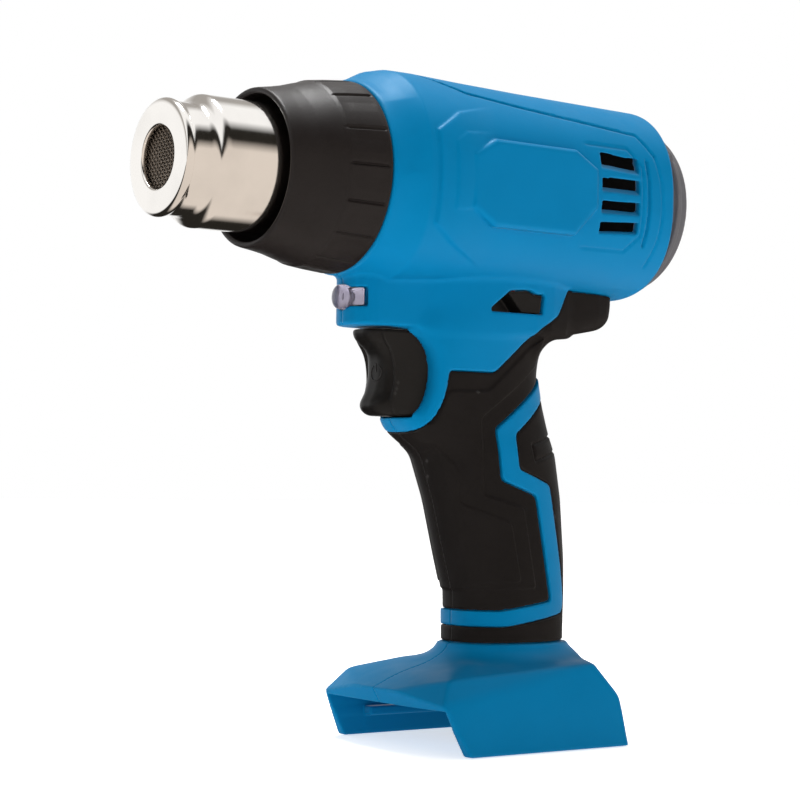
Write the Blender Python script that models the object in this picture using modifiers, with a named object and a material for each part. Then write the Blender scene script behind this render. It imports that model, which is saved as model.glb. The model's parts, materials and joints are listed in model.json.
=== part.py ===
"""Cordless heat gun with a slide-on battery foot, built as separate pieces.

Frame: +Z up, the nozzle points along -X, +Y is the operator's right-hand side.
The origin is under the middle of the foot, on the surface the gun stands on.
All dimensions below are millimetres; the mesh helpers turn them into metres.
"""

import math

import bmesh
import bpy
import numpy as np
from mathutils import Matrix, Vector

MM = 0.001
GAP = 0.3  # clearance between touching pieces
HALF_GAP = 0.15  # each housing half stops this far from the centre plane

# Barrel
AXIS_Z = 181.4
TIP_X = -96.0
BARREL_FRONT_X = -30.4
BARREL_SHOULDER_X = -17.4
BARREL_REAR_X = 85.3
BARREL_FRONT_R = 31.0
BARREL_R = 33.0
BARREL_REAR_R = 32.4
SPINE_FRONT_R = 35.8
SPINE_REAR_R = 33.6
BARREL_WALL = 2.4
BARREL_POWER = 2.4  # exponent of the rounded-square barrel section

# Heater end
NOZZLE_R = 18.0
NOZZLE_BODY_R = 20.4
OUTLET_R = 9.6
SHEET = 0.8
GUARD_FRONT_X = -63.7
GUARD_REAR_X = -30.7
GUARD_BORE_R = 22.9
GUARD_RIBS = 16
COIL_R = 13.0
COIL_TURNS = 7
COIL_STEPS = 8
COIL_FRONT_X = -72.0
COIL_REAR_X = -24.0

# Neck, handle and grips
NECK_BOTTOM_Z = 134.4
NOSE_X = -28.1
NOSE_R = 10.0
NECK_HALF_WIDTH = 17.0
RUBBER = 1.5
CORE_INSET = RUBBER + GAP
CAVITY_INSET = 3.8
# (height, front x, rear x, half width, squareness of the front half) of the handle
HANDLE_SECTIONS = (
    (29.0, 17.5, 60.7, 16.0, 2.3),
    (50.0, 16.8, 61.2, 16.0, 2.3),
    (60.0, 14.2, 61.2, 16.0, 2.3),
    (75.0, 9.8, 60.2, 16.0, 2.3),
    (90.0, 5.1, 57.9, 16.0, 2.3),
    (98.0, -1.0, 56.0, 15.8, 2.5),
    (102.0, -7.5, 54.8, 15.2, 2.8),
    (112.0, -12.0, 51.6, 15.3, 2.8),
    (121.0, -12.0, 49.4, 15.8, 2.8),
    (128.0, -12.0, 50.4, 16.2, 2.8),
    (135.2, -11.0, 54.8, 16.7, 2.6),
    (142.0, -6.0, 61.0, 16.8, 2.4),
)
REAR_SQUARENESS = 2.3

# Trigger and lock button
TRIGGER_HALF_WIDTH = 8.2
TRIGGER_BACK_X = 2.0

# Foot
FOOT_HALF_WIDTH = 36.65
SKIRT_HALF_WIDTH = 33.0
SKIRT_TOP_Z = 15.6
BAY_CEILING_Z = 14.2
BAY_HALF_WIDTH = 32.4
RAIL_HALF_WIDTH = 28.6
RAIL_BOTTOM_Z = 6.5
RAIL_TOP_Z = 9.5
BAY_REAR_X = 58.5

# Fan and motor
MOTOR_R = 14.0
MOTOR_FRONT_X = 21.0
MOTOR_REAR_X = 46.0
FAN_R = 24.0
FAN_BLADES = 9
INTAKE_ROWS = 4

COLOURS = {
    "blue": ((0.0, 0.18, 0.47), 0.42, 0.0),
    "rubber": ((0.018, 0.016, 0.016), 0.62, 0.0),
    "black_plastic": ((0.02, 0.018, 0.017), 0.45, 0.0),
    "grey_plastic": ((0.12, 0.115, 0.115), 0.5, 0.0),
    "steel": ((0.72, 0.66, 0.58), 0.12, 1.0),
    "zinc_steel": ((0.55, 0.55, 0.56), 0.3, 1.0),
    "mesh_wire": ((0.28, 0.25, 0.22), 0.45, 1.0),
    "mica": ((0.55, 0.5, 0.42), 0.55, 0.0),
    "ceramic": ((0.82, 0.8, 0.75), 0.5, 0.0),
    "nichrome": ((0.3, 0.28, 0.27), 0.4, 1.0),
    "copper": ((0.8, 0.4, 0.22), 0.25, 1.0),
    "board": ((0.02, 0.16, 0.06), 0.4, 0.0),
    "aluminium": ((0.75, 0.76, 0.77), 0.3, 1.0),
    "clear": ((0.85, 0.86, 0.9), 0.05, 0.0),
    "red": ((0.5, 0.02, 0.02), 0.4, 0.0),
    "nylon": ((0.7, 0.7, 0.68), 0.5, 0.0),
}


def clear_scene():
    for obj in list(bpy.data.objects):
        bpy.data.objects.remove(obj, do_unlink=True)


def new_collection(name):
    found = bpy.data.collections.new(name)
    bpy.context.scene.collection.children.link(found)
    return found


clear_scene()
PARTS = new_collection("heat_gun")
CUTTERS = new_collection("cutters")
CUTTERS.hide_render = True


def material(kind):
    found = bpy.data.materials.get(kind)
    if found:
        return found
    colour, roughness, metallic = COLOURS[kind]
    made = bpy.data.materials.new(kind)
    made.use_nodes = True
    shader = made.node_tree.nodes["Principled BSDF"]
    shader.inputs["Base Color"].default_value = (*colour, 1.0)
    shader.inputs["Roughness"].default_value = roughness
    shader.inputs["Metallic"].default_value = metallic
    return made


def new_object(name, data, kind=None):
    """A part when it has a material, otherwise a cutter or a guide."""
    obj = bpy.data.objects.new(name, data)
    if kind:
        PARTS.objects.link(obj)
        data.materials.append(material(kind))
    else:
        CUTTERS.objects.link(obj)
        obj.hide_render = True
        obj.display_type = "WIRE"
    return obj


def from_bmesh(name, shape, kind=None):
    bmesh.ops.recalc_face_normals(shape, faces=shape.faces)
    mesh = bpy.data.meshes.new(name)
    shape.to_mesh(mesh)
    shape.free()
    return new_object(name, mesh, kind)


def smooth(obj, angle=35):
    obj.data.shade_smooth()
    obj.data.set_sharp_from_angle(angle=math.radians(angle))
    return obj


def bake(obj):
    """Replaces the object's mesh by its evaluated one and clears its modifiers."""
    bpy.context.view_layer.update()
    graph = bpy.context.evaluated_depsgraph_get()
    mesh = bpy.data.meshes.new_from_object(obj.evaluated_get(graph))
    obj.modifiers.clear()
    obj.data = mesh
    return obj


def combine(target, operation, *tools):
    for tool in tools:
        modifier = target.modifiers.new(operation.lower(), "BOOLEAN")
        modifier.operation = operation
        modifier.solver = "EXACT"
        modifier.object = tool
        bake(target)
    return target


def cut(target, *tools):
    return combine(target, "DIFFERENCE", *tools)


def join(target, *tools):
    return combine(target, "UNION", *tools)


def keep(target, *tools):
    return combine(target, "INTERSECT", *tools)


def copy_of(obj, name, kind=None):
    mesh = obj.data.copy()
    mesh.materials.clear()
    made = new_object(name, mesh, kind)
    made.matrix_world = obj.matrix_world.copy()
    return made


def set_origin(obj, point):
    """Moves a part's origin to a point in millimetres, leaving the shape where it is."""
    offset = Vector(point) * MM
    obj.data.transform(obj.matrix_world)
    obj.data.transform(Matrix.Translation(-offset))
    obj.matrix_world = Matrix.Translation(offset)
    return obj


def box(name, x, y, z, kind=None, bevel=0.0):
    """A box between pairs of limits."""
    shape = bmesh.new()
    bmesh.ops.create_cube(shape, size=1.0)
    for vert in shape.verts:
        for i, (low, high) in enumerate((x, y, z)):
            vert.co[i] = (low if vert.co[i] < 0 else high) * MM
    obj = from_bmesh(name, shape, kind)
    if bevel:
        rounded(obj, bevel)
    return obj


def rounded(obj, width, segments=2):
    modifier = obj.modifiers.new("bevel", "BEVEL")
    modifier.width = width * MM
    modifier.segments = segments
    modifier.limit_method = "ANGLE"
    modifier.angle_limit = math.radians(30)
    return bake(obj)


def rod(name, start, end, radius, kind=None, segments=16, end_radius=None):
    """A cylinder or cone between two points."""
    start, end = Vector(start) * MM, Vector(end) * MM
    along = end - start
    turn = along.to_track_quat("Z", "Y").to_matrix().to_4x4()
    place = Matrix.Translation((start + end) / 2) @ turn
    shape = bmesh.new()
    bmesh.ops.create_cone(
        shape,
        cap_ends=True,
        segments=segments,
        radius1=radius * MM,
        radius2=(radius if end_radius is None else end_radius) * MM,
        depth=along.length,
        matrix=place,
    )
    return from_bmesh(name, shape, kind)


def turned(name, profile, kind=None, steps=32, centre_z=AXIS_Z):
    """A Screw-modifier turning about the barrel axis: profile is (x, radius), and its
    outer side runs from the rear (+X) to the front (-X). A profile that starts and ends
    at radius 0 is a solid; any other one is closed into a ring."""
    ring = profile[0][1] > 0
    mesh = bpy.data.meshes.new(name)
    points = [(radius * MM, 0.0, x * MM) for x, radius in profile]
    edges = [(i, i + 1) for i in range(len(points) - 1)]
    if ring:
        edges.append((len(points) - 1, 0))
    mesh.from_pydata(points, edges, [])
    obj = new_object(name, mesh, kind)
    screw = obj.modifiers.new("turn", "SCREW")
    screw.steps = steps
    screw.render_steps = steps
    screw.use_merge_vertices = True
    screw.merge_threshold = 0.00001
    bake(obj)
    axis_up = Matrix.Rotation(math.radians(90), 4, "Y")
    obj.data.transform(Matrix.Translation(Vector((0, 0, centre_z)) * MM) @ axis_up)
    return smooth(obj)


def plate(name, outline, half_width, kind=None, bevel=0.0):
    """A side outline of (x, z) points, extruded along Y as a filled 2D curve."""
    curve = bpy.data.curves.new(name, "CURVE")
    curve.dimensions = "2D"
    curve.fill_mode = "BOTH"
    curve.extrude = half_width * MM
    spline = curve.splines.new("POLY")
    spline.points.add(len(outline) - 1)
    for point, (x, z) in zip(spline.points, outline):
        point.co = (x * MM, z * MM, 0.0, 1.0)
    spline.use_cyclic_u = True
    guide = new_object(name + "_outline", curve)
    bpy.context.view_layer.update()
    graph = bpy.context.evaluated_depsgraph_get()
    mesh = bpy.data.meshes.new_from_object(guide.evaluated_get(graph))
    bpy.data.objects.remove(guide, do_unlink=True)
    mesh.transform(Matrix.Rotation(math.radians(90), 4, "X"))
    shape = bmesh.new()
    shape.from_mesh(mesh)
    bmesh.ops.remove_doubles(shape, verts=shape.verts, dist=0.000001)
    obj = from_bmesh(name, shape, kind)
    if bevel:
        rounded(obj, bevel)
    return obj


def loft(name, sections, kind=None):
    """Joins sections with equal numbers of points, each an array of (x, y, z), and caps both ends."""
    shape = bmesh.new()
    rows = [[shape.verts.new(Vector(point) * MM) for point in section] for section in sections]
    count = len(rows[0])
    for low, high in zip(rows, rows[1:]):
        for i in range(count):
            j = (i + 1) % count
            shape.faces.new((low[i], low[j], high[j], high[i]))
    shape.faces.new(rows[0])
    shape.faces.new(rows[-1])
    return from_bmesh(name, shape, kind)


def hull(name, points, kind=None):
    """The convex solid around points."""
    shape = bmesh.new()
    for point in points:
        shape.verts.new(Vector(point) * MM)
    found = bmesh.ops.convex_hull(shape, input=shape.verts)
    unused = found["geom_interior"] + found["geom_unused"]
    loose = [item for item in unused if isinstance(item, bmesh.types.BMVert)]
    bmesh.ops.delete(shape, geom=loose, context="VERTS")
    return from_bmesh(name, shape, kind)


def arc(centre, radius, first, last, count):
    """Points on a circle in the side view, with angles in degrees from +X towards +Z."""
    angles = np.radians(np.linspace(first, last, count))
    return [(centre[0] + radius * math.cos(a), centre[1] + radius * math.sin(a)) for a in angles]


def smooth_route(points, spacing):
    """Points read at equal steps along a Catmull-Rom curve through the given ones."""
    given = np.array([points[0], *points, points[-1]], float)
    fine = []
    for a, b, c, d in zip(given, given[1:], given[2:], given[3:]):
        for t in np.linspace(0, 1, 24, endpoint=False):
            square = (2 * a - 5 * b + 4 * c - d) * t**2
            cube = (3 * b - a - 3 * c + d) * t**3
            fine.append(0.5 * (2 * b + (c - a) * t + square + cube))
    fine.append(given[-1])
    fine = np.array(fine)
    run = np.concatenate([[0], np.cumsum(np.linalg.norm(np.diff(fine, axis=0), axis=1))])
    steps = max(2, int(run[-1] / spacing))
    at = np.linspace(0, run[-1], steps + 1)
    return np.stack([np.interp(at, run, fine[:, i]) for i in range(3)], axis=1)


def wire(name, points, radius, kind, sides=1):
    """A tube on a POLY curve, made a mesh with its caps welded."""
    curve = bpy.data.curves.new(name, "CURVE")
    curve.dimensions = "3D"
    curve.bevel_depth = radius * MM
    curve.bevel_resolution = sides
    curve.use_fill_caps = True
    spline = curve.splines.new("POLY")
    spline.points.add(len(points) - 1)
    for point, place in zip(spline.points, points):
        point.co = (*(Vector(place) * MM), 1.0)
    guide = new_object(name + "_route", curve)
    bpy.context.view_layer.update()
    graph = bpy.context.evaluated_depsgraph_get()
    mesh = bpy.data.meshes.new_from_object(guide.evaluated_get(graph))
    bpy.data.objects.remove(guide, do_unlink=True)
    shape = bmesh.new()
    shape.from_mesh(mesh)
    bmesh.ops.remove_doubles(shape, verts=shape.verts, dist=0.000001)
    return smooth(from_bmesh(name, shape, kind))


# ---------------------------------------------------------------- housing shapes


def ring_angles(count):
    """Equal angles round a ring, with the centre plane crossing the middle of a facet."""
    step = 2 * math.pi / count
    return [step * (i + 0.5) for i in range(count)]


def barrel_section(x, inset, count=26):
    """Rounded-square ring at x, with its top drawn up into the spine."""
    stations = (BARREL_FRONT_X, BARREL_SHOULDER_X, BARREL_REAR_X)
    radius = np.interp(x, stations, (BARREL_FRONT_R, BARREL_R, BARREL_REAR_R)) - inset
    top = np.interp(x, stations, (BARREL_FRONT_R, SPINE_FRONT_R, SPINE_REAR_R)) - inset
    power = np.interp(x, stations, (2.0, BARREL_POWER, BARREL_POWER))
    points = []
    for angle in ring_angles(count):
        c, s = math.cos(angle), math.sin(angle)
        reach = (abs(c) ** power + abs(s) ** power) ** (-1 / power)
        rise = s**4 if s > 0 else 0.0
        points.append((x, radius * reach * c, AXIS_Z + reach * s * (radius + (top - radius) * rise)))
    return points


def barrel(name, inset, start=BARREL_FRONT_X, end=BARREL_REAR_X):
    stations = [start, BARREL_SHOULDER_X, 20.0, 55.0, end]
    return loft(name, [barrel_section(x, inset) for x in stations])


def neck_section(z, inset):
    """Boat-shaped plan: a round nose, sides that widen to the rear, and a round stern."""
    nose = NOSE_R - inset
    centre = NOSE_X + NOSE_R
    angles = np.radians(np.linspace(90, 270, 6))
    points = [(centre + nose * math.cos(a), nose * math.sin(a), z) for a in angles]
    side = [(0.0, 13.2), (20.0, 15.8), (38.0, NECK_HALF_WIDTH), (52.0, 14.5), (60.0 - inset, 8.0)]
    right = [(x, -(half - inset), z) for x, half in side]
    left = [(x, half - inset, z) for x, half in reversed(side)]
    return points + right + left


def neck(name, inset):
    bottom = NECK_BOTTOM_Z + inset
    return loft(name, [neck_section(z, inset) for z in (bottom, 158.0)])


def handle_section(z, front, rear, half, squareness, inset, count=18):
    """Oval ring of the handle, squarer in its front half where the trigger is."""
    middle, depth = (front + rear) / 2, (rear - front) / 2 - inset
    points = []
    for angle in ring_angles(count):
        c, s = math.cos(angle), math.sin(angle)
        power = squareness if c < 0 else REAR_SQUARENESS
        reach = (abs(c) ** power + abs(s) ** power) ** (-1 / power)
        points.append((middle + depth * reach * c, (half - inset) * reach * s, z))
    return points


def handle(name, inset):
    return loft(name, [handle_section(*row, inset) for row in HANDLE_SECTIONS])


# (x, half width, bottom) of the tail
TAIL_SECTIONS = (
    (44.0, 13.0, 126.0),
    (56.0, 12.8, 133.5),
    (66.0, 12.0, 137.0),
    (76.0, 10.5, 138.6),
    (80.5, 7.5, 142.0),
)


def tail(name, inset):
    """The rest for the web of the hand under the back of the barrel."""
    sections = []
    for x, half, bottom in TAIL_SECTIONS:
        x -= inset if x > 70 else 0.0
        half, bottom = half - inset, bottom + inset
        drop = 0.6 * half
        sections.append(
            [
                (x, -half, 156.0),
                (x, -half, bottom + drop),
                (x, -0.4 * half, bottom),
                (x, 0.4 * half, bottom),
                (x, half, bottom + drop),
                (x, half, 156.0),
            ]
        )
    return loft(name, sections)


def body(name, inset):
    """Handle, neck and tail as one solid, shrunk by an inset."""
    return join(handle(name, inset), neck(name + "_neck", inset), tail(name + "_tail", inset))


FOOT_COLLAR_X = 39.1
FOOT_COLLAR_DEPTH = 21.9
FOOT_COLLAR_HALF_WIDTH = 16.4


def collar_section(z, scale):
    """Oval ring where the foot flares out from the handle."""
    return handle_section(
        z,
        FOOT_COLLAR_X - FOOT_COLLAR_DEPTH * scale,
        FOOT_COLLAR_X + FOOT_COLLAR_DEPTH * scale,
        FOOT_COLLAR_HALF_WIDTH * scale,
        REAR_SQUARENESS,
        0.0,
        count=28,
    )


def foot(name):
    half = FOOT_HALF_WIDTH
    skirt = SKIRT_HALF_WIDTH
    points = []
    for side in (-1, 1):
        points += [
            (-1.8, side * half, 0.0),
            (63.5, side * half, 0.0),
            (-10.0, side * skirt, SKIRT_TOP_Z),
            (62.7, side * skirt, SKIRT_TOP_Z),
            (-13.5, side * 12.0, 19.0),
            (-4.0, side * 27.5, 23.4),
            (54.6, side * 29.0, 26.6),
            (12.0, side * 16.0, 28.0),
            (60.0, side * 13.0, 28.5),
        ]
    rings = ((20.0, 1.25), (25.0, 1.15), (28.0, 1.04), (31.5, 1.0))
    collar = loft(name + "_collar", [collar_section(z, scale) for z, scale in rings])
    return join(hull(name, points), collar)


def trigger_space():
    """The gap in front of the handle that the trigger fills, open to both sides."""
    rear = [(-13.3, 134.2), (-8.0, 133.0), (-3.5, 130.2), (-1.0, 126.5), (0.0, 122.0)]
    rear += [(-0.2, 116.5), (-2.0, 110.8), (-5.0, 107.2), (-10.0, 105.8)]
    return plate("trigger_space", [(-60.0, 134.2), *rear, (-60.0, 105.8)], 40.0)


def trigger_slot(clearance):
    """The slot in the handle that the back of the trigger slides in."""
    half = TRIGGER_HALF_WIDTH + clearance
    return box("trigger_slot", (-12.0, 10.5), (-half, half), (105.8, 134.2))


def lock_outline(grow):
    """Side outline of the lock button's opening, or of the button when it shrinks."""
    return [
        (19.4 - grow, 141.0 - grow),
        (19.4 - grow, 142.2 + 0.5 * grow),
        (27.4 - 0.5 * grow, 148.0 + grow),
        (41.6 + grow, 147.6 + grow),
        (40.6 + grow, 141.0 - grow),
    ]


# The front edge of the side grip: a quarter ellipse round the trigger opening
GRIP_ARC_CENTRE = (-10.0, 121.0)
GRIP_ARC_RADII = (14.5, 21.5)
GRIP_ARC_STEP = 15


def grip_arc():
    turns = [math.radians(angle) for angle in range(GRIP_ARC_STEP, 91, GRIP_ARC_STEP)]
    (x, z), (along, up) = GRIP_ARC_CENTRE, GRIP_ARC_RADII
    return [(x + along * math.sin(turn), z - up * math.cos(turn)) for turn in turns]


SIDE_GRIP_OUTLINE = [
    (-30.0, 99.5),
    (-10.0, 99.5),
    *grip_arc(),
    (22.5, 121.0),
    (40.5, 136.0),
    (49.0, 141.0),
    (54.5, 150.5),
    (95.0, 151.5),
    (95.0, 124.0),
    (52.0, 124.0),
    (46.5, 119.5),
    (23.5, 103.0),
    (26.0, 86.0),
    (40.5, 81.0),
    (47.5, 46.5),
    (27.0, 43.5),
    (-30.0, 44.0),
]
BACK_GRIP_OUTLINE = [
    (95.0, 118.0),
    (54.0, 117.0),
    (49.5, 114.0),
    (32.0, 101.0),
    (33.0, 90.0),
    (47.5, 85.0),
    (56.5, 45.5),
    (54.5, 42.0),
    (29.0, 38.0),
    (-30.0, 38.5),
    (-30.0, 33.0),
    (95.0, 33.0),
]


def grown(outline, by):
    """An outline moved outwards by a distance, at each corner along the bisector."""
    area = sum(a[0] * b[1] - b[0] * a[1] for a, b in zip(outline, outline[1:] + outline[:1]))
    turn = 1 if area > 0 else -1
    moved = []
    for before, here, after in zip(outline[-1:] + outline[:-1], outline, outline[1:] + outline[:1]):
        u = Vector(here) - Vector(before)
        v = Vector(after) - Vector(here)
        u.normalize()
        v.normalize()
        first = Vector((u.y, -u.x)) * turn
        second = Vector((v.y, -v.x)) * turn
        bisector = first + second
        bisector *= 2 / max(bisector.length_squared, 0.5)
        moved.append((here[0] + bisector.x * by, here[1] + bisector.y * by))
    return moved


SCREWS = (
    (-12.0, 211.6, 16.0),
    (72.0, 203.0, 20.0),
    (74.0, 158.5, 19.0),
    (8.0, 144.2, 11.0),
    (-12.5, 140.2, 8.5),
    (45.5, 127.5, 11.0),
    (18.5, 92.0, 11.0),
    (51.5, 60.0, 9.5),
)
SCREW_SHANK_R = 1.45
SCREW_HEAD_R = 2.8
SCREW_HEAD_H = 2.0
SCREW_LENGTH = 13.0
BOSS_R = 3.7


def screw(index, x, z, head_y):
    """A pan-head housing screw along Y, put in from the right-hand side."""
    profile = [
        (0.0, 0.0),
        (0.0, SCREW_HEAD_R),
        (-SCREW_HEAD_H, SCREW_HEAD_R),
        (-SCREW_HEAD_H, SCREW_SHANK_R),
        (-SCREW_LENGTH + 1.5, SCREW_SHANK_R),
        (-SCREW_LENGTH, 0.6),
        (-SCREW_LENGTH, 0.0),
    ]
    obj = turned(f"housing_screw_{index}", profile, "zinc_steel", steps=8, centre_z=0.0)
    turn = Matrix.Rotation(math.radians(90), 4, "Z")
    obj.data.transform(Matrix.Translation(Vector((x, head_y, z)) * MM) @ turn)
    return obj


def screw_cutter(index, x, z, head_y):
    """Head well, clearance hole and pilot hole for one screw."""
    seat = head_y - SCREW_HEAD_H - 0.2
    tip = head_y - SCREW_LENGTH - 0.8
    well = rod(f"well_{index}", (x, seat, z), (x, 60, z), SCREW_HEAD_R + 0.5, segments=10)
    hole = rod(f"hole_{index}", (x, tip, z), (x, seat + 1, z), SCREW_SHANK_R + 0.2, segments=8)
    return join(well, hole)


def cavity():
    """Everything that is hollow inside the housing, less the screw bosses and the webs beside the trigger."""
    hollow = barrel("hollow", BARREL_WALL, BARREL_FRONT_X + 3.0, BARREL_REAR_X + 5.0)
    body_hollow = body("hollow_body", CAVITY_INSET)
    foot_hollow = box("hollow_foot", (20.0, 57.0), (-11.0, 11.0), (17.0, 36.0))
    wide_corners = ((2, 24, 17), (54, 26, 17), (8, 14, 22), (54, 14, 23))
    foot_wide = hull("hollow_foot_wide", [(x, s * y, z) for s in (-1, 1) for x, y, z in wide_corners])
    for side in (-1, 1):
        y = sorted((side * (TRIGGER_HALF_WIDTH + 1.2), side * 30.0))
        cut(body_hollow, box(f"trigger_web_{side + 1}", (-20.0, 3.0), y, (90.0, 135.2)))
    join(hollow, body_hollow, foot_hollow, foot_wide)
    for index, (x, z, _) in enumerate(SCREWS):
        cut(hollow, rod(f"boss_{index}", (x, -60, z), (x, 60, z), BOSS_R, segments=10))
    return hollow


def foot_space():
    """The bay that the battery slides into from the front, between two rails."""
    length = (-60, BAY_REAR_X)
    wide = (-BAY_HALF_WIDTH, BAY_HALF_WIDTH)
    top = box("bay_top", length, wide, (RAIL_TOP_Z, BAY_CEILING_Z))
    slot = box("bay_slot", length, (-RAIL_HALF_WIDTH, RAIL_HALF_WIDTH), (-5, RAIL_TOP_Z + 1))
    low = box("bay_low", length, wide, (-5, RAIL_BOTTOM_Z))
    return join(top, slot, low)


def vent_slots():
    slots = []
    for index in range(4):
        z = AXIS_Z + 8.1 - 7.1 * index
        slots.append(box(f"vent_{index}", (53.0, 69.6), (-60, 60), (z - 2.15, z + 2.15)))
    return slots


def housing_halves(outer_body):
    shell = barrel("shell", 0.0)
    join(shell, outer_body, foot("foot_block"))
    barrel_solid = barrel("barrel_solid", -0.01)
    core = body("core", CORE_INSET)
    for name, outline in (("side_pocket", SIDE_GRIP_OUTLINE), ("back_pocket", BACK_GRIP_OUTLINE)):
        pocket = plate(name, grown(outline, GAP), 60.0)
        cut(pocket, core, barrel_solid)
        cut(shell, pocket)
    cut(shell, cavity())
    mouth = rod("mouth", (-20.0, 0, AXIS_Z), (-40.0, 0, AXIS_Z), 28.0, segments=34)
    cut(shell, mouth, trigger_space(), trigger_slot(0.45), foot_space(), *vent_slots())
    cut(shell, plate("lock_opening", lock_outline(0.0), 40.0))
    cut(shell, box("terminal_opening", (36.5, 56.5), (-15.5, 15.5), (12.0, 20.0)))
    lens_opening = box("lens_opening", (-45.0, -23.0), (-8.2, 8.2), (140.4, 146.8))
    cut(shell, join(lens_opening, rod("lens_eye", (-45.0, 0, 143.6), (-22.0, 0, 143.6), 4.3, segments=22)))
    for index, (x, z, head_y) in enumerate(SCREWS):
        cut(shell, screw_cutter(index, x, z, head_y))
    for side, name in ((-1, "left_housing"), (1, "right_housing")):
        half = copy_of(shell, name, "blue")
        y = sorted((side * HALF_GAP, side * 80.0))
        keep(half, box(name + "_side", (-200, 200), y, (-50, 300)))
        smooth(half, 30)
    bpy.data.objects.remove(shell, do_unlink=True)


def grips(outer_body):
    """Soft pads over the handle: a side pad and a back pad on each housing half."""
    inner = body("grip_inner", RUBBER)
    barrel_clear = barrel("barrel_clear", -GAP)
    for kind, outline in (("side_grip", SIDE_GRIP_OUTLINE), ("back_grip", BACK_GRIP_OUTLINE)):
        pad = plate(kind + "_pad", outline, 60.0)
        keep(pad, outer_body)
        cut(pad, inner, barrel_clear, *grip_wells(), trigger_slot(1.6))
        for side, prefix in ((-1, "left_"), (1, "right_")):
            half = copy_of(pad, prefix + kind, "rubber")
            y = sorted((side * HALF_GAP, side * 80.0))
            keep(half, box(prefix + kind + "_side", (-200, 200), y, (-50, 300)))
            smooth(half, 30)


def grip_wells():
    """Holes through the right-hand pads over the screws in the handle."""
    low = [(x, z) for x, z, _ in SCREWS if z < NECK_BOTTOM_Z]
    return [
        rod(f"grip_well_{index}", (x, 2, z), (x, 60, z), SCREW_HEAD_R + 0.5, segments=10)
        for index, (x, z) in enumerate(low)
    ]


# ---------------------------------------------------------------- heater end


def nozzle():
    profile = [
        (-12.0, 25.0),
        (-13.6, 25.0),
        (-13.6, NOZZLE_BODY_R),
        (-83.0, NOZZLE_BODY_R),
        (-83.9, 20.1),
        (-85.2, 18.6),
        (-86.0, 17.3),
        (-92.6, 17.3),
        (-93.6, 17.7),
        (-94.7, NOZZLE_R),
        (-95.6, 17.5),
        (TIP_X, 16.4),
        (TIP_X, OUTLET_R + 0.4),
        (TIP_X + 0.4, OUTLET_R),
        (-94.4, OUTLET_R),
        (-94.4, 16.0),
        (-86.0, 16.3),
        (-84.0, NOZZLE_BODY_R - SHEET),
        (-12.0, NOZZLE_BODY_R - SHEET),
    ]
    return turned("nozzle_tube", profile, "steel", steps=24)


def outlet_mesh():
    """Wire guard behind the outlet, as a disc pierced by rows of square holes."""
    rim = [(-92.6, 0.0), (-92.6, 14.5), (-93.6, 14.5), (-93.6, 0.0)]
    disc = turned("outlet_mesh", rim, "mesh_wire", steps=20)
    pitch, hole = 4.6, 3.2
    for row in range(-2, 3):
        for column in range(-2, 3):
            if row * row + column * column > 4:
                continue
            y, z = column * pitch, AXIS_Z + row * pitch
            name = f"mesh_hole_{row + 2}{column + 2}"
            half = hole / 2
            cut(disc, box(name, (-95, -91), (y - half, y + half), (z - half, z + half)))
    return disc


def front_guard():
    """Black collar round the hot nozzle, which twists off its bayonet."""
    profile = [
        (GUARD_REAR_X, 30.6),
        (-45.5, 29.0),
        (-54.0, 26.5),
        (-62.7, 24.9),
        (GUARD_FRONT_X, 24.4),
        (GUARD_FRONT_X, GUARD_BORE_R + 0.4),
        (-62.9, GUARD_BORE_R),
        (-50.0, GUARD_BORE_R + 0.6),
        (-40.0, 26.0),
        (-22.0, 26.0),
        (-22.0, 27.6),
        (GUARD_REAR_X, 27.6),
    ]
    ring = turned("front_guard", profile, "black_plastic", steps=28)
    for index in range(GUARD_RIBS):
        angle = 2 * math.pi * (index + 0.5) / GUARD_RIBS
        y, z = math.cos(angle), math.sin(angle)
        start = (-45.0, 29.1 * y, AXIS_Z + 29.1 * z)
        end = (-33.5, 30.4 * y, AXIS_Z + 30.4 * z)
        cut(ring, rod(f"rib_groove_{index}", start, end, 0.8, segments=4))
    return set_origin(ring, (GUARD_REAR_X, 0, AXIS_Z))


def heater():
    sleeve = [(-15.0, 18.9), (-80.0, 18.9), (-80.0, 18.2), (-15.0, 18.2)]
    turned("mica_sleeve", sleeve, "mica", steps=24)
    cross = box("mica_cross", (-76.0, -17.6), (-11.6, 11.6), (AXIS_Z - 0.5, AXIS_Z + 0.5), "mica")
    upright = box("mica_blade", (-76.0, -17.6), (-0.5, 0.5), (AXIS_Z - 11.6, AXIS_Z + 11.6))
    join(cross, upright)
    turns = COIL_TURNS * COIL_STEPS
    route = []
    for step in range(turns + 1):
        angle = 2 * math.pi * step / COIL_STEPS + math.pi / 4
        x = COIL_FRONT_X + (COIL_REAR_X - COIL_FRONT_X) * step / turns
        route.append((x, COIL_R * math.cos(angle), AXIS_Z + COIL_R * math.sin(angle)))
    wire("heating_coil", route, 0.6, "nichrome")
    spider = rod("element_mount", (-14.0, 0, AXIS_Z), (-17.2, 0, AXIS_Z), 18.0, "ceramic", segments=24)
    for index in range(4):
        angle = math.radians(45 + 90 * index)
        y, z = 10.0 * math.cos(angle), AXIS_Z + 10.0 * math.sin(angle)
        cut(spider, rod(f"air_hole_{index}", (-20, y, z), (-10, y, z), 5.2, segments=10))
    fuse_z = AXIS_Z + 3.4
    rod("thermal_fuse", (-34.0, 4.4, fuse_z), (-24.0, 4.4, fuse_z), 1.9, "ceramic", segments=12)


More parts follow.
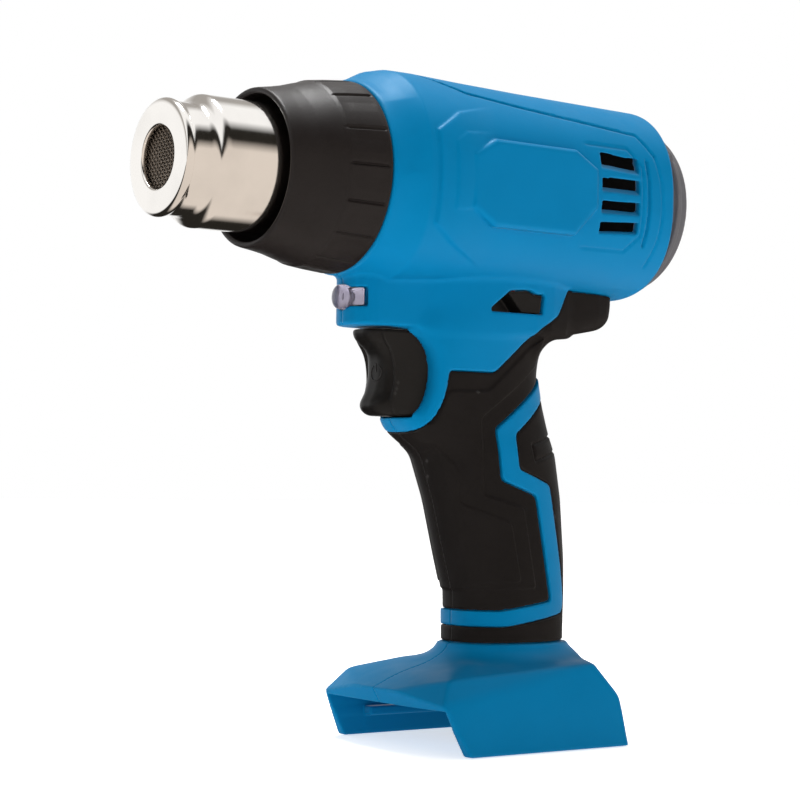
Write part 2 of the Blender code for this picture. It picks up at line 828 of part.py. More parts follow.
def air_duct():
    """Funnel that leads the fan's air into the nozzle tube and holds the tube's flange."""
    profile = [
        (7.0, 28.6),
        (1.0, 28.6),
        (-9.5, 26.4),
        (-11.7, 26.4),
        (-11.7, 19.0),
        (-10.0, 19.0),
        (1.0, 26.8),
        (7.0, 26.8),
    ]
    duct = turned("air_duct", profile, "nylon", steps=24)
    for side in (-1, 1):
        top, bottom = (-2.0, side * 5.0, 166), (-2.0, side * 5.0, 148)
        cut(duct, rod(f"duct_hole_{side + 1}", top, bottom, 1.6, segments=8))
    return duct


def fan():
    profile = [(18.5, 1.3), (18.5, 7.0), (5.0, 7.0), (3.0, 4.5), (3.0, 1.3)]
    hub = turned("fan_impeller", profile, "black_plastic", steps=24)
    for index in range(FAN_BLADES):
        blade = box(f"blade_{index}", (6.5, 17.0), (-0.6, 0.6), (6.0, FAN_R))
        turn = Matrix.Rotation(2 * math.pi * index / FAN_BLADES, 4, "X")
        twist = Matrix.Rotation(math.radians(32), 4, "Z")
        shift = Matrix.Translation((11.75 * MM, 0, 0))
        lift = Matrix.Translation((0, 0, AXIS_Z * MM))
        blade.data.transform(lift @ turn @ shift @ twist @ shift.inverted())
        join(hub, blade)
    smooth(hub, 30)
    set_origin(hub, (12.0, 0, AXIS_Z))
    shaft = rod("motor_shaft", (2.0, 0, AXIS_Z), (20.5, 0, AXIS_Z), 1.0, "zinc_steel", segments=12)
    set_origin(smooth(shaft), (12.0, 0, AXIS_Z))


def motor():
    can = [
        (MOTOR_REAR_X, 0.0),
        (MOTOR_REAR_X, 5.0),
        (MOTOR_REAR_X - 1.5, 5.0),
        (MOTOR_REAR_X - 1.5, 13.0),
        (MOTOR_REAR_X - 2.5, MOTOR_R),
        (MOTOR_FRONT_X + 1.0, MOTOR_R),
        (MOTOR_FRONT_X, 13.0),
        (MOTOR_FRONT_X, 0.0),
    ]
    turned("motor_can", can, "zinc_steel", steps=24)
    rim = [(34.0, 30.0), (26.0, 30.0), (26.0, 28.4), (34.0, 28.4)]
    mount = turned("motor_mount", rim, "nylon", steps=24)
    bore = MOTOR_R + GAP
    ring = turned("motor_ring", [(34.0, 16.0), (26.0, 16.0), (26.0, bore), (34.0, bore)], steps=24)
    for index in range(3):
        angle = math.radians(97.5 + 120 * index)
        y, z = math.cos(angle), math.sin(angle)
        spoke = rod(
            f"motor_spoke_{index}",
            (30.0, 15.2 * y, AXIS_Z + 15.2 * z),
            (30.0, 29.2 * y, AXIS_Z + 29.2 * z),
            1.6,
            segments=8,
        )
        join(ring, spoke)
    join(mount, ring)


def rear_cover():
    profile = [
        (96.0, 0.0),
        (96.0, 26.6),
        (95.0, 28.0),
        (91.2, 29.4),
        (90.6, 30.6),
        (89.8, 31.4),
        (BARREL_REAR_X + GAP, 31.8),
        (BARREL_REAR_X + GAP, 29.0),
        (82.0, 29.0),
        (82.0, 27.4),
        (93.6, 25.6),
        (93.6, 0.0),
    ]
    cover = turned("rear_cover", profile, "grey_plastic", steps=24)
    for row in range(INTAKE_ROWS):
        z = AXIS_Z + 9.0 * (row - (INTAKE_ROWS - 1) / 2)
        half = math.sqrt(21.0**2 - (z - AXIS_Z) ** 2)
        for side in (-1, 1):
            y = sorted((side * 3.0, side * half))
            cut(cover, box(f"intake_{row}_{side + 1}", (90, 99), y, (z - 1.5, z + 1.5)))
    return cover


def intake_filter():
    """Foam disc that keeps dust out of the fan, held in the rear cover."""
    edge = [(92.2, 0.0), (92.2, 24.6), (88.6, 24.6), (88.6, 0.0)]
    return turned("intake_filter", edge, "black_plastic", steps=24)


# ---------------------------------------------------------------- controls


# (x, height) of the front of the trigger
TRIGGER_FRONT = [
    (-21.2, 133.6),
    (-20.4, 130.6),
    (-16.3, 127.7),
    (-14.4, 122.4),
    (-14.6, 117.3),
    (-16.2, 111.8),
    (-16.6, 106.3),
]


def trigger():
    back = [(TRIGGER_BACK_X, 106.3), (TRIGGER_BACK_X, 133.6)]
    obj = plate("trigger", TRIGGER_FRONT + back, TRIGGER_HALF_WIDTH, "black_plastic", bevel=1.2)
    cut(obj, rod("trigger_spring_seat", (-4.0, 0, 127.0), (6.0, 0, 127.0), 3.2, segments=16))
    cut(obj, rod("plunger_seat", (-3.0, 0, 113.0), (6.0, 0, 113.0), 2.4, segments=16))
    return set_origin(smooth(obj, 40), (-4.0, 0, 120.0))


def trigger_parts():
    rod("trigger_plunger", (-2.6, 0, 113.0), (10.6, 0, 113.0), 2.0, "nylon", segments=12)
    turns, length = 4, 14.0
    route = []
    for step in range(turns * 8 + 1):
        angle = 2 * math.pi * step / 8
        x = -3.6 + length * step / (turns * 8)
        route.append((x, 2.4 * math.cos(angle), 127.0 + 2.4 * math.sin(angle)))
    wire("trigger_spring", route, 0.3, "zinc_steel")
    switch = box("switch_body", (11.0, 34.0), (-8.5, 8.5), (107.5, 131.5), "black_plastic", bevel=0.8)
    cut(switch, rod("switch_bore", (8.0, 0, 113.0), (24.0, 0, 113.0), 2.4, segments=16))
    return switch


def lock_button():
    half = 16.6
    button = plate("lock_button", grown(lock_outline(0.0), -0.45), half, "black_plastic", bevel=0.5)
    for side in (-1, 1):
        corners = []
        for x, z in ((0, 130), (28.0, 130), (0, 160), (34.0, 160)):
            corners += [(x, side * (half - 3.6), z), (x, side * 40.0, z)]
        cut(button, hull(f"lock_scoop_{side + 1}", corners))
    return set_origin(button, (31.0, 0, 144.5))


def lens_and_led():
    lens = box("led_lens", (-30.6, -25.4), (-7.8, 7.8), (140.8, 146.4), "clear")
    keep(lens, turned_nose(NOSE_R + 0.1))
    dome = rod("lens_dome", (-30.6, 0, 143.6), (-25.4, 0, 143.6), 3.9, segments=20)
    join(lens, dome)
    rod("led", (-24.9, 0, 143.6), (-21.0, 0, 143.6), 2.4, "clear", segments=16)
    box("led_board", (-20.7, -19.1), (-4.6, 4.6), (138.9, 148.0), "board")


def turned_nose(radius):
    return rod("lens_limit", (NOSE_X + NOSE_R, 0, 120), (NOSE_X + NOSE_R, 0, 170), radius, segments=40)


def electronics():
    box("control_board", (31.0, 32.6), (-9.5, 9.5), (44.0, 101.0), "board")
    sink = box("heat_sink", (33.0, 44.0), (-8.0, 8.0), (70.0, 96.0), "aluminium")
    for index in range(5):
        y = -6.4 + 3.2 * index
        cut(sink, box(f"fin_gap_{index}", (35.5, 50.0), (y - 0.8, y + 0.8), (60.0, 110.0)))
    rod("capacitor", (33.0, 0, 56.0), (45.0, 0, 56.0), 5.0, "black_plastic", segments=20)
    block = box("terminal_block", (37.0, 53.5), (-15.0, 15.0), (9.0, 22.0), "black_plastic", bevel=0.6)
    for index, y in enumerate((-10.5, -3.5, 3.5, 10.5)):
        slot = box(f"blade_slot_{index}", (30.0, 44.6), (y - 0.8, y + 0.8), (9.6, 13.6))
        cut(block, slot)
        box(f"terminal_blade_{index + 1}", (27.0, 44.3), (y - 0.4, y + 0.4), (10.0, 13.2), "copper")


# name: (material, radius, points that the wire passes through)
BATTERY_ROUTE = [(40, 5, 22.6), (37, 6, 30), (28.6, 6, 40), (28, 6, 60), (28.3, 6, 84), (28, 6, 96)]
MOTOR_ROUTE = [(46.6, 7, 181), (50, 8, 172), (49, 8, 158), (45.5, 6, 145)]
MOTOR_ROUTE += [(38.6, 6.5, 133), (37, 7, 118), (37.5, 7, 104)]
HEATER_ROUTE = [(-13.4, 5, 176), (-8, 5, 171), (-3, 5, 163), (-2, 5, 152), (0, 5, 143), (4, 5.5, 138)]
HEATER_ROUTE += [(14, 6, 136.6), (28, 6, 135.6), (36.6, 5, 130), (38, 3, 116), (36, 3, 104)]
LED_ROUTE = [(-18.4, 1.5, 146), (-12, 2, 146.6), (-6, 2, 144.4)]
LED_ROUTE += [(0, 2, 139.6), (10, 2, 137.6), (27, 2, 135)]


def across(route):
    """The same route on the other side of the centre plane."""
    return [(x, -y, z) for x, y, z in route]


WIRE_ROUTES = {
    "battery_wire_red": ("red", 1.1, BATTERY_ROUTE),
    "battery_wire_black": ("black_plastic", 1.1, across(BATTERY_ROUTE)),
    "motor_wire_red": ("red", 0.8, MOTOR_ROUTE),
    "motor_wire_black": ("black_plastic", 0.8, across(MOTOR_ROUTE)),
    "heater_wire_live": ("nylon", 1.0, HEATER_ROUTE),
    "heater_wire_return": ("nylon", 1.0, across(HEATER_ROUTE)),
    "led_wire": ("nylon", 0.6, LED_ROUTE),
}


def wires():
    for name, (kind, radius, points) in WIRE_ROUTES.items():
        wire(name, smooth_route(points, 5.0), radius, kind)


def main():
    outer_body = body("outer_body", 0.0)
    housing_halves(outer_body)
    grips(outer_body)
    rear_cover()
    intake_filter()
    nozzle()
    outlet_mesh()
    front_guard()
    heater()
    air_duct()
    fan()
    motor()
    trigger()
    trigger_parts()
    lock_button()
    lens_and_led()
    electronics()
    wires()
    for index, (x, z, head_y) in enumerate(SCREWS):
        screw(index + 1, x, z, head_y)


main()
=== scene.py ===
"""Looks of the cordless heat gun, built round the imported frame.

Shapes are distance fields in millimetres, in the same frame as the CAD: +Z up, the nozzle
points along -X and the camera's side is -Y. A field is negative inside. Each one is read on a
grid, turned into a quad mesh, and its points are then moved onto the field itself.
"""

import json
import math

import bmesh
import bpy
import numpy as np
import openvdb
from mathutils import Matrix, Vector


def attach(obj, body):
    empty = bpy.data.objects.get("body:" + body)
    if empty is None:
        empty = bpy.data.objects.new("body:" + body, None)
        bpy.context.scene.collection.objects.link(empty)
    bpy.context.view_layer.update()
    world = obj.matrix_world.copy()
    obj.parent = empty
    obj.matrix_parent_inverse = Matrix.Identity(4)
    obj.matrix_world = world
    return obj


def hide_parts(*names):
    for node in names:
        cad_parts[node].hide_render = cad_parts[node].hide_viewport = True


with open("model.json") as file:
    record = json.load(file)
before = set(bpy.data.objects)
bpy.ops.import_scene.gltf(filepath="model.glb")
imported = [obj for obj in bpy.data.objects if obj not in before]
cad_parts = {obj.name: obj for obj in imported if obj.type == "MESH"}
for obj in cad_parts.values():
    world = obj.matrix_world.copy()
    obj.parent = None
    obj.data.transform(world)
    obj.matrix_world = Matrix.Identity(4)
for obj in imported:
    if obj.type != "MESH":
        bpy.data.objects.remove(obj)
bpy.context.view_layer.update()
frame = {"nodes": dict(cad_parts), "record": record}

MM = 0.001
AXIS_Z = 181.4
HALF_GAP = 0.03
GAP = 0.3

# Barrel: stations along X, with the section's radius and the height of its spine
BARREL_FRONT_X = -30.4
BARREL_REAR_X = 85.3
RADIUS_AT = ((-30.4, -17.4, 85.3), (31.0, 33.0, 32.4))
SPINE_AT = ((-30.4, -27.0, -21.7, -17.8, -9.5, 10.0, 35.0, 85.3),
    (31.0, 32.2, 34.9, 35.7, 35.8, 35.0, 34.3, 33.5))
WALL = 2.4
PAD = 1.5
INSET = PAD + GAP

# Relief on the barrel's side, as (x, z) in the side view
PLATE_FRONT, PLATE_REAR, PLATE_LOW, PLATE_TOP = -2.0, 50.5, 166.0, 194.0
PLATE_CUT = 9.5
PLATE_DROP = 5.5
PANEL_FRONT = -15.0
STEP_FRONT = -8.5
VENT_LOW, VENT_TOP, VENT_REAR = 163.0, 197.0, 71.0
VENT_CUT = 5.5
VENT_RISE = 0.75  # each slot climbs inwards, so that its floor shows as a louvre


def bowed(x, low, top, sag):
    """An upright line that bows towards the rear: x is its middle, and its ends lie sag further forward."""
    middle, reach = (low + top) / 2, (top - low) / 2
    return [(x - sag * t * t, middle + reach * t) for t in (1.0, 0.5, 0.0, -0.5, -1.0)]


def quarter(centre, radii, step):
    """Points on a quarter ellipse, from near its lowest point up to its rearmost one."""
    turns = [math.radians(angle) for angle in range(step, 91, step)]
    return [(centre[0] + radii[0] * math.sin(turn), centre[1] - radii[1] * math.cos(turn)) for turn in turns]


OCTAGON = [
    (PLATE_FRONT, PLATE_TOP - PLATE_DROP), (PLATE_FRONT + PLATE_CUT, PLATE_TOP),
    (PLATE_REAR - PLATE_CUT, PLATE_TOP), (PLATE_REAR, PLATE_TOP - PLATE_DROP),
    (PLATE_REAR, PLATE_LOW + PLATE_CUT), (PLATE_REAR - PLATE_CUT, PLATE_LOW),
    (PLATE_FRONT + PLATE_CUT, PLATE_LOW), (PLATE_FRONT, PLATE_LOW + PLATE_DROP),
]
REAR_LINE = bowed(80.0, 159.0, 195.5, 2.5)
SPINE_LINE = [(-10.0, 216.0), (4.5, 209.5), (24.0, 207.0), (72.0, 202.5), REAR_LINE[0]]
PANEL_LINE = [(-4.5, 202.0), (PANEL_FRONT, 195.0), (PANEL_FRONT, 165.0), (-6.0, 159.5)]
PANEL = PANEL_LINE + [(20.0, 150.0), (20.0, 208.0)]
STEP_LINE = [(-3.5, 195.5), (STEP_FRONT, 192.0), (STEP_FRONT, 170.0)]
VENT_FRAME = [
    (46.0, VENT_TOP), (VENT_REAR - VENT_CUT, VENT_TOP), (VENT_REAR, VENT_TOP - VENT_CUT),
    (VENT_REAR, VENT_LOW + VENT_CUT), (VENT_REAR - VENT_CUT, VENT_LOW), (46.0, VENT_LOW),
]
VENT_GROOVE = bowed(74.0, 165.5, 193.5, 0.6)

# Height: front, rear, half width and squareness of the front half of the handle
HANDLE = np.array(
    [
        (24.0, 17.5, 60.5, 16.0, 2.3), (50.0, 17.0, 61.0, 16.0, 2.3), (60.0, 14.0, 61.0, 16.0, 2.3),
        (80.0, 8.5, 59.5, 16.0, 2.3), (95.0, 3.0, 57.0, 16.0, 2.4), (101.0, -6.0, 55.0, 15.2, 2.7),
        (104.0, -8.5, 54.0, 15.2, 2.8), (112.0, -10.5, 51.5, 15.3, 2.8), (121.0, -11.0, 49.5, 15.6, 2.8),
        (128.0, -11.0, 50.5, 16.0, 2.8), (135.0, -11.0, 55.0, 16.5, 2.6), (142.0, -6.0, 60.0, 16.8, 2.4),
        (164.0, -6.0, 60.0, 16.8, 2.4),
    ]
)
NECK_PLAN = [(-0.5, 13.0), (10.0, 14.7), (38.0, 17.0), (46.0, 16.2), (54.0, 13.2), (60.0, 8.0)]
TAIL_SIDE = [(40.0, 127.0), (53.0, 133.5), (75.0, 137.5), (79.0, 140.0), (81.0, 145.0), (82.0, 160.0),
    (40.0, 160.0)]
TAIL_PLAN = [(36.0, 15.5), (70.0, 12.5), (77.0, 11.0), (81.0, 8.0), (82.5, 3.0)]

# The grip's front edge runs round the trigger opening
GRIP_ARC = quarter((-10.0, 121.0), (14.5, 21.5), 15)
SIDE_GRIP = [(-30.0, 99.5), (-10.0, 99.5)] + GRIP_ARC + [
    (22.5, 121.0), (40.5, 136.0), (49.0, 141.0), (54.5, 150.5), (95.0, 151.5), (95.0, 124.0), (52.0, 124.0),
    (46.5, 119.5), (23.5, 103.0), (26.0, 86.0), (40.5, 81.0), (47.5, 46.5), (27.0, 43.5), (-30.0, 44.0),
]
BACK_GRIP = [
    (95.0, 118.0), (54.0, 117.0), (49.5, 114.0), (32.0, 101.0), (33.0, 90.0), (47.5, 85.0), (56.5, 45.5),
    (54.5, 42.0),
    (29.0, 38.0), (-30.0, 38.5), (-30.0, 33.0), (95.0, 33.0),
]
GRIP_STEP = [(4.6, 114.9), (20.0, 115.4), (36.4, 129.0), (44.0, 134.0), (44.0, 124.4), (37.8, 120.2),
    (17.6, 106.1),
             (19.8, 81.5), (35.3, 77.4), (40.9, 50.4), (-20.0, 48.8), (-20.0, 104.0), (0.0, 104.0)]
GRIP_PANEL = [(-14.0, 99.5), (3.5, 97.5), (11.0, 90.0), (13.0, 78.5), (30.0, 72.5), (34.5, 52.5),
    (-14.0, 52.0)]

# (height, x) of the finger roll's front and of the front edge of the trigger's flat sides
TRIGGER_ROLL = ((106.0, -16.0), (109.0, -18.0), (114.0, -16.2), (121.5, -15.0), (127.5, -16.5),
    (131.0, -20.5), (134.0, -21.5))
TRIGGER_SIDE = ((106.0, -13.0), (110.0, -13.7), (118.0, -12.6), (126.0, -14.0), (131.5, -17.2),
    (134.0, -17.5))
TRIGGER_HALF = 8.2
ROLL_HALF = 7.6
ROLL_CORNER = 6.0
TRIGGER_GAP = [(-60.0, 134.6), (-13.5, 134.6), (-8.5, 133.5), (-4.4, 131.1), (-1.4, 127.4), (-0.2, 122.5),
    (-0.5, 116.3),
               (-2.4, 110.7), (-5.4, 107.0), (-10.4, 105.6), (-60.0, 105.6)]
LOCK = [(19.4, 141.0), (19.4, 142.2), (27.2, 148.3), (35.4, 148.9), (38.4, 147.6), (41.7, 147.8),
    (40.8, 141.0)]
RAKE = [(39.3, 98.0), (54.0, 101.6), (54.9, 96.4), (40.2, 92.7)]

SCREWS = (
    (-12.0, 211.6, 16.0), (72.0, 203.0, 20.0), (74.0, 158.5, 19.0), (8.0, 144.2, 11.0),
    (-12.5, 140.2, 8.5), (45.5, 127.5, 11.0), (18.5, 92.0, 11.0), (51.5, 60.0, 9.5),
)


# ---------------------------------------------------------------- distance fields


def smin(a, b, k):
    h = np.clip(0.5 + 0.5 * (b - a) / k, 0.0, 1.0)
    return b + (a - b) * h - k * h * (1.0 - h)


def smax(a, b, k):
    return -smin(-a, -b, k)


def outline(u, v, points):
    """Signed distance to a closed outline."""
    u = np.asarray(u, np.float32)
    v = np.asarray(v, np.float32)
    best = None
    sign = np.ones(np.broadcast(u, v).shape, np.float32)
    previous = points[-1]
    for point in points:
        ax, ay = point
        bx, by = previous
        ex, ey = bx - ax, by - ay
        wx, wy = u - ax, v - ay
        t = np.clip((wx * ex + wy * ey) / (ex * ex + ey * ey), 0.0, 1.0)
        square = (wx - ex * t) ** 2 + (wy - ey * t) ** 2
        best = square if best is None else np.minimum(best, square)
        above = v >= ay
        below = v < by
        left = ex * wy > ey * wx
        sign = np.where((above & below & left) | ~(above | below | left), -sign, sign)
        previous = point
    return sign * np.sqrt(best)


def path(u, v, points):
    """Distance to an open line."""
    best = None
    for (ax, ay), (bx, by) in zip(points, points[1:]):
        ex, ey = bx - ax, by - ay
        t = np.clip(((u - ax) * ex + (v - ay) * ey) / (ex * ex + ey * ey), 0.0, 1.0)
        square = (u - ax - ex * t) ** 2 + (v - ay - ey * t) ** 2
        best = square if best is None else np.minimum(best, square)
    return np.sqrt(best)


def groove(distance, half_width):
    """1 in the middle of a groove and 0 at its edges, with a rounded floor."""
    t = np.clip(1.0 - distance / half_width, 0.0, 1.0)
    return t * t * (3.0 - 2.0 * t)


def ramp(value, start, end):
    t = np.clip((value - start) / (end - start), 0.0, 1.0)
    return t * t * (3.0 - 2.0 * t)


def filleted(points, radius, steps=5):
    """The outline with each corner replaced by a small curve."""
    found = []
    for before, here, after in zip(points[-1:] + points[:-1], points, points[1:] + points[:1]):
        here = np.array(here, float)
        to_before = np.array(before, float) - here
        to_after = np.array(after, float) - here
        reach = min(radius, 0.45 * np.linalg.norm(to_before), 0.45 * np.linalg.norm(to_after))
        start = here + to_before / np.linalg.norm(to_before) * reach
        end = here + to_after / np.linalg.norm(to_after) * reach
        for t in np.linspace(0.0, 1.0, steps):
            found.append(tuple((1 - t) ** 2 * start + 2 * t * (1 - t) * here + t * t * end))
    return found


def block(x, y, z, low, high, corner=0.5):
    """A rounded box."""
    centre = [(a + b) / 2 for a, b in zip(low, high)]
    half = [(b - a) / 2 - corner for a, b in zip(low, high)]
    q = [np.abs(value - c) - h for value, c, h in zip((x, y, z), centre, half)]
    outside = np.sqrt(sum(np.maximum(part, 0.0) ** 2 for part in q))
    return outside + np.minimum(np.maximum(np.maximum(q[0], q[1]), q[2]), 0.0) - corner


def hull_planes(points):
    """The flat faces round a set of points, as normals and distances."""
    shape = bmesh.new()
    for point in points:
        shape.verts.new(point)
    bmesh.ops.convex_hull(shape, input=shape.verts)
    middle = Vector(np.mean(points, axis=0))
    planes = []
    for face in shape.faces:
        normal = face.normal.copy()
        distance = normal.dot(face.verts[0].co)
        if normal.dot(middle) > distance:
            normal, distance = -normal, -distance
        if all(normal.dot(other) < 0.9995 for other, _ in planes):
            planes.append((normal, distance))
    shape.free()
    return planes


def hull(x, y, z, planes, corner):
    found = None
    for normal, distance in planes:
        value = normal.x * x + normal.y * y + normal.z * z - distance
        found = value if found is None else smax(found, value, corner)
    return found


# ---------------------------------------------------------------- body shapes


def relief(x, z):
    """How far the side of the barrel stands out: panels, steps and grooves."""
    panel = outline(x, z, PANEL)
    height = 0.95 * ramp(-panel, -0.05, 0.75) * ramp(x, 12.0, -8.0)
    low_edge = ramp(z, 197.0, 190.0) * ramp(x, 0.0, -6.0)
    height = height - 0.35 * groove(np.abs(panel + 0.5), 0.55) * low_edge
    step = outline(x, z, STEP_LINE + [(14.0, 172.0), (14.0, 197.0)])
    height = height + 0.3 * ramp(-step, 0.0, 0.7) * ramp(x, 10.0, -4.0)
    height = height - 0.5 * groove(np.abs(outline(x, z, VENT_FRAME)), 0.7) * ramp(x, 45.5, 49.0)
    height = height - 1.0 * groove(path(x, z, VENT_GROOVE), 0.95)
    return height - 0.4 * groove(path(x, z, REAR_LINE), 0.8)


def barrel(x, y, z):
    radius = np.interp(x, *RADIUS_AT).astype(np.float32)
    top = np.interp(x, *SPINE_AT).astype(np.float32)
    power = np.interp(x, (-30.4, -17.4), (2.0, 2.4)).astype(np.float32)
    h = z - AXIS_Z
    around = np.sqrt(y * y + h * h) + 1e-6
    rise = np.clip(h / around, 0.0, 1.0) ** 4
    h = h / (1.0 + (top / radius - 1.0) * rise)
    found = (np.abs(y) ** power + np.abs(h) ** power) ** (1.0 / power) - radius
    turn = np.arctan2(z - AXIS_Z, np.abs(y) + 1e-6)
    along = np.clip((x + 30.4) / 12.8, 0.0, 1.0)
    facet = np.sin(np.pi * along) * np.abs(np.sin(4.0 * turn + 0.15))
    found = found + 0.75 * facet
    side = ramp(np.abs(y), 12.0, 18.0)
    found = found - relief(x, z) * side
    found = found + 0.6 * groove(path(x, z, SPINE_LINE), 0.75) * ramp(np.abs(y), 5.0, 12.0)
    return found


def barrel_ends(x):
    return np.maximum(BARREL_FRONT_X - x, x - BARREL_REAR_X)


def badge_plate(x, y, z):
    """The raised flat octagon on each side, with broad chamfers."""
    edge = outline(x, z, OCTAGON)
    out = np.abs(y) - 33.95
    slope = (edge * 0.85 + out + 0.95) / 1.31
    return smax(smax(edge, out, 0.3), slope, 0.25)


def handle(x, y, z):
    rows = np.arange(HANDLE[0, 0], HANDLE[-1, 0], 0.5)
    blur = np.exp(-0.5 * (np.arange(-8, 9) * 0.5 / 1.6) ** 2)
    blur /= blur.sum()
    found = []
    for column in range(1, 5):
        value = np.interp(rows, HANDLE[:, 0], HANDLE[:, column])
        found.append(np.convolve(np.pad(value, 8, "edge"), blur, "valid"))
    front, rear, half, square = (np.interp(z, rows, column).astype(np.float32) for column in found)
    depth = (rear - front) / 2
    u = np.abs(x - (front + rear) / 2) / depth + 1e-4
    v = np.abs(y) / half + 1e-4
    power = np.where(x < (front + rear) / 2, square, 2.3)
    q = (u**power + v**power) ** (1 / power)
    slope = q ** (1 - power) * np.sqrt((u ** (power - 1) / depth) ** 2 + (v ** (power - 1) / half) ** 2)
    return smax((q - 1.0) / np.maximum(slope, 0.03), np.maximum(z - 162.0, 24.0 - z), 1.0)


def neck(x, y, z):
    nose = [(-18.1 + 10.0 * math.cos(a), 10.0 * math.sin(a)) for a in np.radians(np.linspace(95, 180, 9))]
    near = [(px, -py) for px, py in reversed(nose)]
    plan = list(reversed(NECK_PLAN)) + nose[:-1] + near + [(px, -py) for px, py in NECK_PLAN]
    sides = outline(x, y, plan)
    return smax(smax(sides, 134.4 - z, 1.6), z - 170.0, 1.0)


def tail(x, y, z):
    plan = TAIL_PLAN + [(px, -py) for px, py in reversed(TAIL_PLAN)]
    return smax(outline(x, z, filleted(TAIL_SIDE, 3.0)), outline(x, y, plan), 6.5)


def body(x, y, z):
    """Handle, neck and tail as one solid."""
    return smin(smin(handle(x, y, z), tail(x, y, z), 3.0), neck(x, y, z), 1.0 + 2.5 * ramp(x, -12.0, -2.0))


def foot_points():
    points = []
    for side in (-1, 1):
        points += [
            (-1.8, side * 36.65, 0.0),
            (63.5, side * 36.65, 0.0),
            (-10.0, side * 33.0, 15.6),
            (62.7, side * 33.0, 15.6),
            (-13.8, side * 11.0, 19.2),
            (-4.0, side * 27.5, 23.4),
            (54.6, side * 29.0, 26.6),
            (12.0, side * 16.0, 27.6),
            (60.0, side * 13.0, 28.2),
        ]
    return points


FOOT_PLANES = hull_planes(foot_points())


def foot(x, y, z):
    """The battery foot, flaring up to the handle in a hollow curve."""
    base = hull(x, y, z, FOOT_PLANES, 0.7)
    u = np.abs(x - 39.1) / 21.9 + 1e-4
    v = np.abs(y) / 16.3 + 1e-4
    q = (u**2.3 + v**2.3) ** (1 / 2.3)
    post = smax((q - 1.0) * 17.5, z - 31.9, 0.8)
    return smin(base, smax(post, 18.0 - z, 1.0), 9.0)


def bay(x, y, z):
    """The room for the battery, with a rail along each side."""
    half = np.abs(y)
    top = np.maximum(np.maximum(half - 32.4, z - 14.2), 9.5 - z)
    slot = np.maximum(half - 28.6, z - 10.5)
    low = np.maximum(half - 32.4, z - 6.5)
    found = smin(smin(top, slot, 0.4), low, 0.4)
    before_rails = np.maximum(np.maximum(half - 32.4, z - 14.2), x - 6.0)
    found = smax(smin(found, before_rails, 0.4), x - 58.5, 0.6)
    terminals = block(x, y, z, (36.5, -15.5, 12.0), (56.5, 15.5, 20.0), 0.4)
    return np.minimum(found, terminals)


def vents(x, y, z):
    found = None
    for centre, fall in ((190.4, -0.055), (182.95, 0.0), (175.4, 0.03), (167.85, 0.06)):
        middle = centre + fall * (x - 52.0) + VENT_RISE * np.clip(33.5 - np.abs(y), 0.0, 4.0)
        u = np.abs(x - 61.3) - 8.0
        v = np.abs(z - middle) - 1.75
        slot = (
            np.sqrt(np.maximum(u, 0.0) ** 2 + np.maximum(v, 0.0) ** 2)
            + np.minimum(np.maximum(u, v), 0.0)
            - 0.4
        )
        found = slot if found is None else np.minimum(found, slot)
    return np.maximum(found, 8.0 - np.abs(y))


def trigger_room(x, y, z):
    gap = outline(x, z, filleted(TRIGGER_GAP, 2.5))
    slot = block(x, y, z, (-14.0, -8.65, 105.8), (10.5, 8.65, 134.2), 0.5)
    return np.minimum(gap, slot)


def lens_room(x, y, z, clearance=0.25):
    h = z - 143.6
    round_part = np.maximum(np.sqrt(y * y + h * h) - 3.9 - clearance, x + 22.0)
    wings = np.maximum(np.maximum(np.abs(y) - 7.5 - clearance, np.abs(h) - 2.8 - clearance), x + 22.8)
    return np.minimum(round_part, wings)


def grip_pocket(x, z, grow):
    side = outline(x, z, filleted(SIDE_GRIP, 1.6))
    back = outline(x, z, filleted(BACK_GRIP, 1.6))
    return np.minimum(side, back) - grow


def screw_room(x, y, z):
    found = None
    for sx, sz, head in SCREWS:
        around = np.sqrt((x - sx) ** 2 + (z - sz) ** 2)
        well = np.maximum(around - 3.3, head - 2.2 - y)
        hole = np.maximum(around - 1.65, head - 14.0 - y)
        both = np.minimum(well, hole)
        found = both if found is None else np.minimum(found, both)
    return found


def housing(x, y, z):
    skin = smax(barrel(x, y, z), barrel_ends(x), 1.1)
    skin = smin(skin, np.maximum(badge_plate(x, y, z), 20.0 - np.abs(y)), 0.2)
    lower = body(x, y, z)
    pocket = np.maximum(grip_pocket(x, z, GAP), np.maximum(-(lower + INSET), -(barrel(x, y, z) + 0.0)))
    found = smin(skin, lower, 1.6)
    found = smin(found, foot(x, y, z), 0.6)
    found = smax(found, -pocket, 0.35)
    plain = np.sqrt(y * y + (z - AXIS_Z) ** 2)
    hollow = np.maximum(skin + WALL + 0.4, -28.0 - x)
    hollow = np.minimum(hollow, np.maximum(lower + 4.0, 36.0 - z))
    hollow = np.maximum(hollow, np.maximum(96.0 - z, np.minimum(4.0 - x, 135.0 - z)))
    found = np.maximum(found, -hollow)
    hollow = np.maximum(hollow, -block(x, np.abs(y), z, (49.5, 24.5, 161.0), (70.5, 40.0, 197.0)))
    mouth = np.maximum(plain - 28.0, x + 20.0)
    found = smax(found, -mouth, 0.5)
    found = smax(found, -np.maximum(plain - 29.4, 80.0 - x), 0.4)
    found = smax(found, -trigger_room(x, y, z), 0.6 + 2.8 * ramp(x, -13.0, -3.0) * ramp(np.abs(y), 8.4, 10.5))
    found = smax(found, -bay(x, y, z), 0.5)
    found = smax(found, -vents(x, y, z), 0.5)
    found = smax(found, -outline(x, z, filleted(LOCK, 0.8)), 0.6)
    found = np.maximum(found, -lens_room(x, y, z))
    return np.maximum(found, -screw_room(x, y, z))


